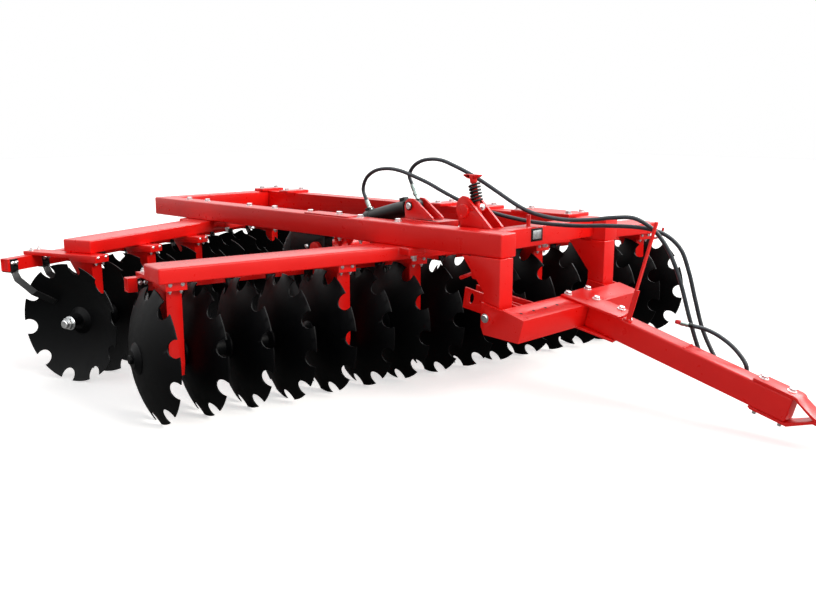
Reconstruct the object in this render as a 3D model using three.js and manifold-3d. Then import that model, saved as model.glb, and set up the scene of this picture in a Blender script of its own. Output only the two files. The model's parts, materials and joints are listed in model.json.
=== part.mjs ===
// Trailed offset disc harrow: a welded frame of square tube carries two angled gangs of notched
// discs under it, a sprung drawbar in front and a pair of hydraulic transport wheels between the gangs.
// Millimetres, +Z up, drawbar towards -Y, the gangs' near ends towards -X. It stands on its discs.
import * as THREE from "three";
import { mergeVertices } from "three/addons/utils/BufferGeometryUtils.js";
import Module from "manifold-3d";

const wasm = await Module();
wasm.setup();

// ---- driving sizes ----
const fit = 0.3; // between pieces that touch
const rad = Math.PI / 180;
const origin = { x: -101, y: 178 }; // where the part's origin lies in the frame's own layout

const disc = {
  radius: 330, dish: 90, thick: 6, spacing: 230, midRing: 190, notches: 10, notchRadius: 46, notchInset: 17,
};
const axle = { radius: 22, spool: 45, bell: 78, nut: 30, height: disc.radius, sides: 12 };
const axleOut = { hollow: 130, crown: 40 }; // how far an axle passes its end disc, on each of its faces

const rail = { size: 120, outside: 1045, front: -900, rear: 2240, top: 890 };
const railBottom = rail.top - rail.size;
const railCentre = rail.outside / 2 - rail.size / 2;
const railInside = rail.outside / 2 - rail.size;
const cross = { depth: 100, frontSetBack: 80, rearDepth: 120 };

const gangBeam = { width: 200, height: 75 };
const beamTop = railBottom - fit;
const beamBottom = beamTop - gangBeam.height;

// Gangs: where the near disc's rim centre stands, the gang's turn, the disc's hollow side along the axle
// (+1 far, -1 near), the beam's offset behind the axle and its two ends, the scraper bar's front face,
// and the sections as [first disc, discs].
const gangs = {
  front: {
    x: -1777, y: 178, turn: -11, hollow: 1, beamOffset: -55, beamFrom: -20, beamTo: 3360,
    barAt: 225, sections: [[0, 6], [6, 6], [12, 4]],
  },
  rear: {
    x: -1731, y: 1153, turn: 20, hollow: -1, beamOffset: 63, beamFrom: 95, beamTo: 3470,
    barAt: 345, sections: [[0, 4], [4, 6], [10, 6]],
  },
};
const gangDiscs = 16;
const hanger = {
  width: 76, flange: 104, front: -80, thick: 50, flangeFront: -165, flangeBack: 10, plate: 20, fromRim: 75,
};
const hangerLeg = { foot: 233, slant: 15, slantRise: 60, neck: 160, brace: 170, plateBack: 130 };
const bearing = { radius: 72, width: 80, bore: 22.5 };
const scraperArm = { width: 40, thick: 9, kneeFront: 30, kneeDrop: 45, tipY: 130, tipZ: 430, middle: 0.45, tilt: 40 };
const scraperClamp = { at: 32, width: 50, wall: 8 };
const scraperBar = { depth: 55, height: 70, wall: 5, overhang: 40, hollowOverhang: 70, mouth: 9 };

// How far each front post stands proud of its rail's outer face; back and drop are the triangular web's behind it.
const post = { size: 102, nearProud: 17.5, farProud: -31.5, foot: 430 };
const gusset = { back: 140, drop: 172, thick: 12 };

// Lugs that bolt a gang beam under the rails, and the clamp plates over the far rail as [from, to] along it.
const lug = { width: 110, length: 92, height: 45 };
const clampPlate = { thick: 20, overhang: 72, outside: 12 };
const clampPlaces = [[-705, -297], [-90, 20], [260, 370], [1795, 1900], [2104, 2205]];

// The drawbar turns about a pin through both posts. Its own layout runs backwards (+Y) and up from the pin.
const drawbar = { pinY: -846, pinZ: 479, noseDown: 14.7, pinRadius: 20 };
const yoke = { back: 75, front: 213, bottom: -46, top: 74, cheek: 16, side: 4, fork: 92, forkPlate: 12 };
const forkOutline = [[157, -76], [292, -94], [304, 17], [197, 27], [60, 50]]; // of [back, up] from the pin
const forkSlot = [249, -26, 17, 30, 12]; // [back, up, half across, half up, sides]
const yokeHoles = { radius: 9, depth: 14, fromFront: 69, places: [-492, -392, -293, -193] };
const tongue = { x: 50, width: 100, height: 120, end: 1313, plate: 14 };
const tip = { from: 1424, end: 1563.3, hole: 20, holeBack: 55, low: 5, upperLap: 193, lowerLap: 175, bend: 32 };
const spread = {
  plate: 12, back: 70, near: -73, far: 178, frontNear: -10, frontFar: 137, waist: 191, front: 406, frontTurn: 22,
};
const holder = { x: 22, y: -433, width: 20, deep: 10, top: 522, foot: 40, footFront: 18, footBack: 16, footThick: 10 };
const rib = { thick: 6, deep: 16, height: 170 };
const hook = { end: 82, lip: 6, z: 434, lipTop: 52, thick: 8 };

// Transport wheels side by side on one arm of a rockshaft under the rails, lifted by one cylinder.
const rock = { y: 500, z: 680, radius: 45, past: 50, arm: 500, rest: 26.3, x: 60, wheels: 150, armWidth: 70, armDeep: 70 };
const crank = { length: 182, lean: 37.2, half: 38, thick: 14, width: 70, eye: 30, pin: 22, pinOut: 54 };
const spindle = { shoulder: 30, radius: 25.4, out: 50 };
const saddle = { width: 60, front: 68, back: 240, drop: 150, backDrop: 108, slant: 4, step: 45, play: 1.2 };
const tyre = { radius: 330, width: 180, rim: 200, tread: 0.7, bead: 0.75, shoulder: 30, bulge: 50, sides: 24 };
const wheel = { hub: 60, hubOut: 40, wall: 12, disc: [-12, 8], bore: 26 };
const ram = {
  fromRail: 92.5, pinY: -134, pinZ: 967, radius: 47, rod: 22, barrelFrom: 60, barrelEnd: 405, boreFrom: 90, pin: 17,
};
const clevis = { half: 24, height: 34, back: 34, front: 70, rodEnd: 32, rodHeight: 30, rodPin: 16 };
const ramEar = { gap: 64, thick: 16, pinOut: 8, seat: 10, seatDeep: 70, seatFront: 250, seatBack: 40, seatSide: 20 };
const ramX = ram.fromRail - railInside;

// Levelling rod: sprung through a trunnion behind the front cross beam, pinned to the yoke's fork.
const level = { fromRail: 72.5, y: -594, z: 985, footY: -712, footZ: 520, radius: 14, top: 180, pivot: 15, ear: 16 };
const levelBoss = { radius: 35, out: 6, back: 51, below: 17 };
const levelStop = { radius: 10, from: -6, to: 76, fromDown: 336, toDown: 369 };
const levelRear = 94; // from the trunnion back to the plate between the ears
const levelTop = {
  neck: 19, neckLow: 48, cap: 50, capDeep: 8, web: 20, webDeep: 22, width: 30, footHalf: 24, footPin: 12,
};
const trunnionBlock = { half: 24, halfHeight: 20, out: 8 };
const levelX = level.fromRail - railInside;
const springRadius = 31;

// Hydraulic hoses, their points chosen by hand in the frame's layout as [x, y, z]. Each is cut at cutY into a
// rear run that stays with the frame and a front run that moves with the drawbar.
const hose = { radius: 9.5, sides: 8, cutY: -1130 };
const guide = { x: -156, thick: 10, y: -790, width: 24, height: 62 }; // on the front cross beam, between the hoses
const hosePoints = [
  [[ramX, -104, 1080], [ramX, -82, 1128], [ramX, -112, 1178], [-307, -170, 1210], [-304, -240, 1223],
    [-300, -310, 1218], [-290, -385, 1194], [-275, -467, 1160], [-255, -546, 1119], [-230, -638, 1064],
    [-205, -725, 1010], [-184, -790, 976], [-160, -860, 953], [-120, -980, 936], [-75, -1100, 941],
    [-30, -1215, 957], [5, -1305, 957], [42, -1385, 908], [70, -1428, 850], [94, -1468, 769],
    [115, -1511, 648], [135, -1555, 487], [150, -1599, 349], [156, -1640, 262], [158, -1700, 205], [158, -1770, 185]],
  [[ramX, 262, 972], [ramX, 290, 1030], [-316, 262, 1093], [-326, 180, 1143], [-334, 65, 1162], [-338, -39, 1154],
    [-338, -129, 1132], [-330, -241, 1096], [-306, -336, 1050], [-276, -415, 1011], [-236, -500, 975],
    [-200, -583, 950], [-168, -680, 929], [-138, -790, 913], [-100, -900, 905], [-60, -1030, 904],
    [-16, -1160, 911], [44, -1310, 910], [78, -1378, 897], [108, -1436, 869], [138, -1490, 808], [160, -1527, 702],
    [178, -1561, 564], [192, -1604, 415], [200, -1663, 300], [198, -1716, 222], [185, -1780, 185],
    [165, -1835, 215], [155, -1852, 280], [160, -1792, 352], [172, -1700, 406], [182, -1610, 428], [188, -1540, 432]],
];
const hoseSteps = [[22, 14], [25, 18]]; // of each hose's [rear run, front run]
const coupler = { radius: 13, cap: 11, length: 62, capLength: 24 };
const fitting = { radius: 11, length: 90 };

// ---- materials ----
const paint = new THREE.MeshStandardMaterial({ color: 0xc4161c, roughness: 0.4, metalness: 0.1 });
const blackSteel = new THREE.MeshStandardMaterial({ color: 0x2a2c2e, roughness: 0.55, metalness: 0.6 });
const zinc = new THREE.MeshStandardMaterial({ color: 0xc9ccd0, roughness: 0.3, metalness: 0.9 });
const rubber = new THREE.MeshStandardMaterial({ color: 0x17181a, roughness: 0.85, metalness: 0 });

// ---- shaping ----
function solid(geometry) {
  const plain = geometry.index ? geometry.toNonIndexed() : geometry.clone();
  for (const name of Object.keys(plain.attributes)) if (name !== "position") plain.deleteAttribute(name);
  const merged = mergeVertices(plain, 1e-4);
  return new wasm.Manifold(
    new wasm.Mesh({
      numProp: 3,
      vertProperties: new Float32Array(merged.attributes.position.array),
      triVerts: new Uint32Array(merged.index.array),
    }),
  );
}

function join(first, ...others) {
  return others.flat().reduce((sum, other) => sum.add(solid(other)), solid(first));
}

function mesh(name, shape, material, parent) {
  let geometry = shape;
  if (!shape.isBufferGeometry) {
    const out = shape.getMesh();
    geometry = new THREE.BufferGeometry();
    geometry.setAttribute("position", new THREE.BufferAttribute(new Float32Array(out.vertProperties), 3));
    geometry.setIndex(new THREE.BufferAttribute(new Uint32Array(out.triVerts), 1));
    geometry.computeVertexNormals();
  }
  const made = new THREE.Mesh(geometry, material);
  made.name = name;
  parent.add(made);
  return made;
}

// A box from its lowest to its highest corner.
function block(x0, x1, y0, y1, z0, z1) {
  return new THREE.BoxGeometry(x1 - x0, y1 - y0, z1 - z0).translate((x0 + x1) / 2, (y0 + y1) / 2, (z0 + z1) / 2);
}

function outline(points, holes = []) {
  const shape = new THREE.Shape(points.map(([a, b]) => new THREE.Vector2(a, b)));
  for (const [a, b, across, up, sides] of holes) {
    const ring = Array.from({ length: sides }, (_, i) => {
      const turn = (-2 * Math.PI * i) / sides;
      return new THREE.Vector2(a + across * Math.cos(turn), b + up * Math.sin(turn));
    });
    shape.holes.push(new THREE.Path(ring));
  }
  return shape;
}

const alongX = new THREE.Matrix4().makeBasis(
  new THREE.Vector3(0, 1, 0), new THREE.Vector3(0, 0, 1), new THREE.Vector3(1, 0, 0));

// A plate whose outline is in Y and Z, from x0 to x1.
function plateX(points, x0, x1, holes = []) {
  return new THREE.ExtrudeGeometry(outline(points, holes), { depth: x1 - x0, bevelEnabled: false })
    .applyMatrix4(alongX).translate(x0, 0, 0);
}

// A plate whose outline is in X and Y, from z0 to z1.
function plateZ(points, z0, z1) {
  return new THREE.ExtrudeGeometry(outline(points), { depth: z1 - z0, bevelEnabled: false }).translate(0, 0, z0);
}

// A round piece about the X axis, from pairs of [x, radius].
function turned(profile, sides) {
  const points = profile.map(([x, radius]) => new THREE.Vector2(radius, x));
  return new THREE.LatheGeometry(points, sides).rotateZ(-Math.PI / 2);
}

function rod(x0, x1, radius, sides = 16) {
  return turned([[x0, 0], [x0, radius], [x1, radius], [x1, 0]], sides);
}

function rodBetween(a, b, radius, sides) {
  return rod(Math.min(a, b), Math.max(a, b), radius, sides);
}

// A round bar between two points given as [x, y, z].
function bar(from, to, radius, sides = 12) {
  const a = new THREE.Vector3(...from), b = new THREE.Vector3(...to);
  const along = b.clone().sub(a);
  const made = new THREE.CylinderGeometry(radius, radius, along.length(), sides);
  const up = new THREE.Vector3(0, 1, 0);
  made.applyQuaternion(new THREE.Quaternion().setFromUnitVectors(up, along.clone().normalize()));
  return made.translate(...a.add(b).multiplyScalar(0.5).toArray());
}

// A flat bar through sections, each four corners in the same order.
function strip(sections) {
  const place = [];
  const face = (a, b, c, d) => place.push(...a, ...b, ...c, ...a, ...c, ...d);
  const n = sections.length;
  face(sections[0][3], sections[0][2], sections[0][1], sections[0][0]);
  for (let i = 0; i + 1 < n; i++)
    for (let k = 0; k < 4; k++) {
      const next = (k + 1) % 4;
      face(sections[i][k], sections[i][next], sections[i + 1][next], sections[i + 1][k]);
    }
  face(...sections[n - 1]);
  const made = new THREE.BufferGeometry().setAttribute("position", new THREE.Float32BufferAttribute(place, 3));
  return solid(made).volume() < 0 ? strip(sections.map((section) => [...section].reverse())) : made;
}

// ---- discs ----
const dishCurve = (disc.radius ** 2 + disc.dish ** 2) / (2 * disc.dish);
const dishAt = (radius) => disc.dish - (dishCurve - Math.sqrt(dishCurve ** 2 - radius ** 2));

// The notched rim as [radius, turn] pairs.
function rimPoints(steps) {
  const centre = disc.radius - disc.notchInset;
  const cosine = (disc.radius ** 2 + centre ** 2 - disc.notchRadius ** 2) / (2 * disc.radius * centre);
  const half = Math.acos(cosine);
  const start = Math.atan2(disc.radius * Math.sin(half), disc.radius * cosine - centre);
  const pitch = (2 * Math.PI) / disc.notches;
  const points = [];
  for (let n = 0; n < disc.notches; n++) {
    for (let i = 0; i <= steps; i++) {
      const turn = -start - ((2 * Math.PI - 2 * start) * i) / steps;
      const outward = centre + disc.notchRadius * Math.cos(turn);
      const across = disc.notchRadius * Math.sin(turn);
      points.push([Math.hypot(outward, across), n * pitch + Math.atan2(across, outward)]);
    }
    points.push([disc.radius, (n + 0.5) * pitch]);
  }
  return points;
}

// A dished disc about the X axis, its rim in the plane x = 0, hollow towards +X or -X, its notches turned by phase.
function discShape(hollow, phase) {
  const outer = rimPoints(3).map(([radius, turn]) => [radius, turn + phase]);
  const rings = [outer];
  rings.push(Array.from({ length: axle.sides }, (_, i) => [disc.midRing, (2 * Math.PI * i) / axle.sides]));
  const place = [];
  const point = ([radius, turn], lift) => [
    -hollow * (dishAt(radius) + lift), radius * Math.cos(turn), radius * Math.sin(turn)];
  const face = (a, b, c) => place.push(...(hollow > 0 ? [a, b, c] : [a, c, b]).flat());
  for (const lift of [0, disc.thick]) {
    const put = (a, b, c) => (lift ? face(a, c, b) : face(a, b, c));
    for (let r = 0; r + 1 < rings.length; r++)
      band(rings[r], rings[r + 1], (...corners) => put(...corners.map((one) => point(one, lift))));
    const last = rings[rings.length - 1];
    const middle = [-hollow * (disc.dish + lift), 0, 0];
    last.forEach((one, k) => put(point(one, lift), point(last[(k + 1) % last.length], lift), middle));
  }
  outer.forEach((one, k) => {
    const two = outer[(k + 1) % outer.length];
    const a = point(one, 0), b = point(two, 0), c = point(two, disc.thick), d = point(one, disc.thick);
    face(a, c, b);
    face(a, d, c);
  });
  return new THREE.BufferGeometry().setAttribute("position", new THREE.Float32BufferAttribute(place, 3));
}

// Fills between two rings of [radius, turn] points, always closing on the nearer next point.
function band(big, small, put) {
  const turnOf = (ring, k) => ring[k % ring.length][1] + 2 * Math.PI * Math.floor(k / ring.length);
  let j = 0;
  while (turnOf(small, j + 1) < turnOf(big, 0)) j++;
  const start = j;
  let i = 0;
  while (i < big.length || j < start + small.length) {
    const a = big[i % big.length], b = small[j % small.length];
    const stepBig = turnOf(big, i + 1), stepSmall = turnOf(small, j + 1);
    if (j >= start + small.length || (i < big.length && stepBig <= stepSmall)) {
      put(a, big[(i + 1) % big.length], b);
      i++;
    } else {
      put(a, small[(j + 1) % small.length], b);
      j++;
    }
  }
}

// ---- gangs, each in its own layout: x along the axle from the near disc's rim, y backwards ----
const rimAt = (i) => i * disc.spacing;
const hubAt = (gang, i) => rimAt(i) - gang.hollow * disc.dish;
const hangerAt = (gang, i) => (gang.hollow > 0 ? rimAt(i) + hanger.fromRim : rimAt(i + 1) - hanger.fromRim);
const hangerDiscs = (gang) => gang.sections.flatMap(([first, count]) => [first, first + count - 2]);

function rotor(gang, [first, count]) {
  const last = first + count - 1;
  const before = gang.hollow > 0 ? axleOut.crown : axleOut.hollow;
  const after = gang.hollow > 0 ? axleOut.hollow : axleOut.crown;
  const from = hubAt(gang, first), to = hubAt(gang, last);
  const profile = [[from - before, 0], [from - before, axle.radius]];
  const step = (x, r0, r1) => profile.push([x, r0], [x, r1]);
  const nutWidth = 20;
  if (before > axleOut.crown) {
    step(from - before + nutWidth, axle.radius, axle.nut);
    step(from - before + 2 * nutWidth, axle.nut, axle.radius);
  }
  step(from - 22, axle.radius, axle.spool);
  profile.push([from - 4, axle.bell], [from + 4, axle.bell]);
  step(from + 8, axle.bell, axle.spool);
  for (let i = first; i < last; i++) {
    if (hangerDiscs(gang).includes(i)) {
      const gap = bearing.width / 2 + 10;
      const middle = hangerAt(gang, i);
      if (middle - gap > hubAt(gang, i) + 10) step(middle - gap, axle.spool, axle.radius);
      step(middle + gap, axle.radius, axle.spool);
    }
  }
  step(to - 8, axle.spool, axle.bell);
  profile.push([to + 4, axle.bell]);
  profile.push([to + 22, axle.spool]);
  profile.push([to + 22, axle.radius]);
  if (after > axleOut.crown) {
    step(to + after - 2 * nutWidth, axle.radius, axle.nut);
    step(to + after - nutWidth, axle.nut, axle.radius);
  }
  profile.push([to + after, axle.radius], [to + after, 0]);
  const parts = [];
  for (let i = first; i <= last; i++) {
    const phase = ((i * 13) % 20) * (Math.PI / disc.notches / 10);
    parts.push(discShape(gang.hollow, phase).translate(rimAt(i), 0, 0));
  }
  return join(turned(profile, axle.sides), parts);
}

// One scraper: a clamp round the bar, and a flat arm that twists as it runs down into the disc's hollow.
function scraper(gang, i) {
  const side = gang.hollow;
  const x = rimAt(i);
  const back = gang.barAt;
  const top = beamBottom - hanger.plate - fit;
  const bottom = top - scraperBar.height;
  const clampX = x + side * scraperClamp.at;
  const { wall } = scraperClamp;
  const clamp = block(clampX - scraperClamp.width / 2, clampX + scraperClamp.width / 2,
    back - wall, back + scraperBar.depth + wall, bottom - wall, top - 3);
  const knee = { y: back - scraperArm.kneeFront, z: bottom - scraperArm.kneeDrop };
  const tip = { y: scraperArm.tipY, z: scraperArm.tipZ };
  const share = scraperArm.middle;
  const [tiltCos, tiltSin] = [Math.cos(scraperArm.tilt * rad), Math.sin(scraperArm.tilt * rad)];
  // [how far into the hollow, y, z, how far the flat has turned]
  const stations = [
    [scraperClamp.at, back + 12, bottom + 20, 0],
    [38, knee.y, knee.z, 0.3],
    [24, tip.y + share * (knee.y - tip.y), tip.z + share * (knee.z - tip.z), 0.7],
    [-44, tip.y, tip.z, 1.0],
  ];
  const sections = stations.map(([into, y, z, share]) => {
    const angle = (share * Math.PI) / 2;
    const wide = new THREE.Vector3(side * Math.cos(angle), Math.sin(angle) * tiltCos, Math.sin(angle) * -tiltSin);
    const deep = new THREE.Vector3(side * Math.sin(angle), Math.cos(angle) * -tiltCos, Math.cos(angle) * tiltSin);
    const centre = new THREE.Vector3(x + side * into, y, z);
    return [[-1, -1], [1, -1], [1, 1], [-1, 1]].map(([a, b]) =>
      centre.clone().addScaledVector(wide, a * scraperArm.width / 2)
        .addScaledVector(deep, b * scraperArm.thick / 2).toArray());
  });
  return [clamp, strip(sections)];
}

function hangerShape(gang, x) {
  const half = hanger.width / 2, wing = hanger.flange / 2;
  const under = beamBottom - hanger.plate;
  const flange = block(x - wing, x + wing, hanger.flangeFront, gang.barAt + scraperBar.depth + hanger.flangeBack,
    under, beamBottom - fit);
  const foot = block(x - wing, x + wing, hanger.flangeFront, hanger.front + hangerLeg.plateBack,
    under - hanger.plate, under + 1);
  const leg = plateX([
    [hanger.front, hangerLeg.foot + hangerLeg.slantRise], [hanger.front + hangerLeg.slant, hangerLeg.foot],
    [hanger.front + hanger.thick, hangerLeg.foot], [hanger.front + hanger.thick, axle.height + hangerLeg.neck],
    [hanger.front + hangerLeg.brace, under], [hanger.front, under],
  ], x - half, x + half);
  const housing = rod(x - bearing.width / 2, x + bearing.width / 2, bearing.radius, 16).translate(0, 0, axle.height);
  const bore = rod(x - bearing.width, x + bearing.width, bearing.bore, 24).translate(0, 0, axle.height);
  return join(flange, foot, leg, housing).subtract(solid(bore));
}

function scraperBarShape(gang) {
  const top = beamBottom - hanger.plate - fit;
  const { overhang, hollowOverhang, mouth } = scraperBar;
  const from = -(gang.hollow < 0 ? hollowOverhang : overhang);
  const to = rimAt(gangDiscs - 1) + (gang.hollow > 0 ? hollowOverhang : overhang);
  const y0 = gang.barAt, y1 = gang.barAt + scraperBar.depth;
  const wall = scraperBar.wall;
  const scrapers = Array.from({ length: gangDiscs }, (_, i) => scraper(gang, i)).flat();
  const bar = join(block(from, to, y0, y1, top - scraperBar.height, top), scrapers);
  const cut = (x0, x1) => solid(block(x0, x1, y0 + wall, y1 - wall, top - scraperBar.height + wall, top - wall));
  return bar.subtract(cut(from - 1, from + mouth)).subtract(cut(to - mouth, to + 1));
}

function buildGang(name, gang, parent) {
  const group = new THREE.Group();
  group.position.set(gang.x, gang.y, 0);
  group.rotation.z = gang.turn * rad;
  parent.add(group);
  const half = gangBeam.width / 2;
  const [front, back] = [gang.beamOffset - half, gang.beamOffset + half];
  const turn = gang.turn * rad;
  const lugs = [-railCentre, railCentre].flatMap((x) => {
    const s = (x - gang.x + gang.beamOffset * Math.sin(turn)) / Math.cos(turn);
    return [[front - lug.length, front + 1], [back - 1, back + lug.length]].map(([y0, y1]) =>
      block(s - lug.width / 2, s + lug.width / 2, y0, y1, beamTop - lug.height, beamTop));
  });
  const beam = block(gang.beamFrom, gang.beamTo, front, back, beamBottom, beamTop);
  mesh(name + "_gang_beam", join(beam, lugs), paint, group);
  hangerDiscs(gang).forEach((i, k) =>
    mesh(`${name}_hanger_${k + 1}`, hangerShape(gang, hangerAt(gang, i)), paint, group));
  mesh(name + "_scraper_bar", scraperBarShape(gang), paint, group);

  const axles = new THREE.Group();
  axles.position.z = axle.height;
  group.add(axles);
  gang.sections.forEach((section, k) =>
    mesh(`${name}_disc_section_${k + 1}`, rotor(gang, section), blackSteel, axles));
}

// ---- frame ----
const postOut = (side) => side * (rail.outside / 2 + (side < 0 ? post.nearProud : post.farProud));
const postIn = (side) => postOut(side) - side * post.size;

function buildFrame(parent) {
  const half = rail.size / 2;
  const back = rail.front - 8 + post.size;
  for (const [name, side] of [["near", -1], ["far", 1]]) {
    const x = side * railCentre;
    const bar = block(x - half, x + half, rail.front, rail.rear, railBottom, rail.top);
    const plates = clampPlaces.map(([y0, y1]) => block(railInside - clampPlate.overhang,
      railInside + rail.size + clampPlate.outside, y0, y1, rail.top, rail.top + clampPlate.thick));
    mesh(name + "_rail", side > 0 ? join(bar, plates) : bar, paint, parent);
    const x0 = Math.min(postOut(side), postIn(side)), x1 = Math.max(postOut(side), postIn(side));
    const web = [
      [back - 1, railBottom - fit], [back - 1, railBottom - gusset.drop], [back + gusset.back, railBottom - fit]];
    const pinHole = rod(x0 - 1, x1 + 1, drawbar.pinRadius + 0.7, 16).translate(0, drawbar.pinY, drawbar.pinZ);
    mesh(name + "_post", join(
      block(x0, x1, back - post.size, back, post.foot, railBottom - fit),
      plateX(web, x0, x0 + gusset.thick),
      plateX(web, x1 - gusset.thick, x1),
    ).subtract(solid(pinHole)), paint, parent);
  }
  const inner = railInside - fit;
  const frontFace = rail.front + cross.frontSetBack;
  const beamBack = frontFace + cross.depth;
  mesh("front_cross_beam", join(
    block(-inner, inner, frontFace, beamBack, rail.top - cross.depth, rail.top),
    block(guide.x - guide.thick, guide.x, guide.y - guide.width / 2, guide.y + guide.width / 2,
      rail.top - 1, rail.top + guide.height),
  ), paint, parent);
  mesh("rear_cross_beam", block(-inner, inner, rail.rear - cross.rearDepth, rail.rear, railBottom, rail.top), paint, parent);

  // Rockshaft saddles hang under the rails.
  for (const [name, side] of [["near", -1], ["far", 1]]) {
    const x = side * railCentre;
    const top = railBottom - fit;
    const hang = plateX([
      [rock.y - saddle.front - saddle.slant, top], [rock.y - saddle.front, top - saddle.drop],
      [rock.y + saddle.front, top - saddle.drop], [rock.y + saddle.front + saddle.step, top - saddle.backDrop],
      [rock.y + saddle.back, top - saddle.backDrop], [rock.y + saddle.back, top],
    ], x - saddle.width / 2, x + saddle.width / 2);
    const bore = rod(x - saddle.width, x + saddle.width, rock.radius + saddle.play, 16).translate(0, rock.y, rock.z);
    mesh(name + "_rockshaft_bearing", solid(hang).subtract(solid(bore)), blackSteel, parent);
  }

  // Cylinder anchor: a seat on the near rail's inner side with two ears.
  const earGap = ramEar.gap / 2, ear = ramEar.thick;
  const seatX = -railInside + fit;
  const seat = rail.top + ramEar.seat;
  const earShape = [
    [ram.pinY - 165, seat - 1], [ram.pinY - 163, seat + 12], [ram.pinY - 45, ram.pinZ + 28],
    [ram.pinY - 22, ram.pinZ + 40], [ram.pinY + 12, ram.pinZ + 41], [ram.pinY + 36, ram.pinZ + 24],
    [ram.pinY + 44, ram.pinZ], [ram.pinY + 38, seat - 1],
  ];
  mesh("cylinder_anchor", join(
    block(seatX, ramX + earGap + ear + ramEar.seatSide, ram.pinY - ramEar.seatFront, ram.pinY + ramEar.seatBack,
      seat - ramEar.seatDeep, seat),
    plateX(earShape, ramX - earGap - ear, ramX - earGap),
    plateX(earShape, ramX + earGap, ramX + earGap + ear),
    rod(ramX - earGap - ear - ramEar.pinOut, ramX + earGap + ear + ramEar.pinOut, ram.pin, 12)
      .translate(0, ram.pinY, ram.pinZ),
  ), paint, parent);

  // Levelling bracket: two ears behind the front cross beam; the near one reaches down to a stop bar.
  const y0 = beamBack + fit;
  const low = rail.top - cross.depth + 20;
  // Its outline and its tail's, from the trunnion, as [back, up].
  const levelEar = [
    [18, 41], [36, 56], [62, 61], [86, 47], [100, 23], [106, -10], [116, -85], [124, -115], [74, low - level.z],
  ].map(([back, up]) => [level.y + back, level.z + up]);
  const tail = [[-66, low + 1 - level.z], [2, low + 1 - level.z], [2, -345], [-12, -363], [-46, -363]]
    .map(([back, up]) => [level.y + back, level.z + up]);
  const nearEar = levelX - yoke.fork / 2, farEar = levelX + yoke.fork / 2, thick = level.ear / 2;
  const bore = rod(nearEar - thick - 12, farEar + thick + 12, level.pivot + 0.9, 12).translate(0, level.y, level.z);
  mesh("levelling_bracket", join(
    plateX([[y0, low], [y0, rail.top + 4], ...levelEar], nearEar - thick, nearEar + thick),
    plateX([[y0, low], [y0, rail.top + 4], ...levelEar], farEar - thick, farEar + thick),
    rod(nearEar - thick - levelBoss.out, nearEar, levelBoss.radius, 12)
      .translate(0, level.y + levelBoss.back, level.z - levelBoss.below),
    plateX(tail, nearEar - 6, nearEar + 6),
    bar([nearEar, level.y + levelStop.from, level.z - levelStop.fromDown],
      [nearEar, level.y + levelStop.to, level.z - levelStop.toDown], levelStop.radius, 8),
    block(nearEar, farEar, y0, y0 + level.ear, low, rail.top),
    block(nearEar, farEar, level.y + levelRear, level.y + levelRear + level.ear, low, rail.top),
  ).subtract(solid(bore)), paint, parent);
}

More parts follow.
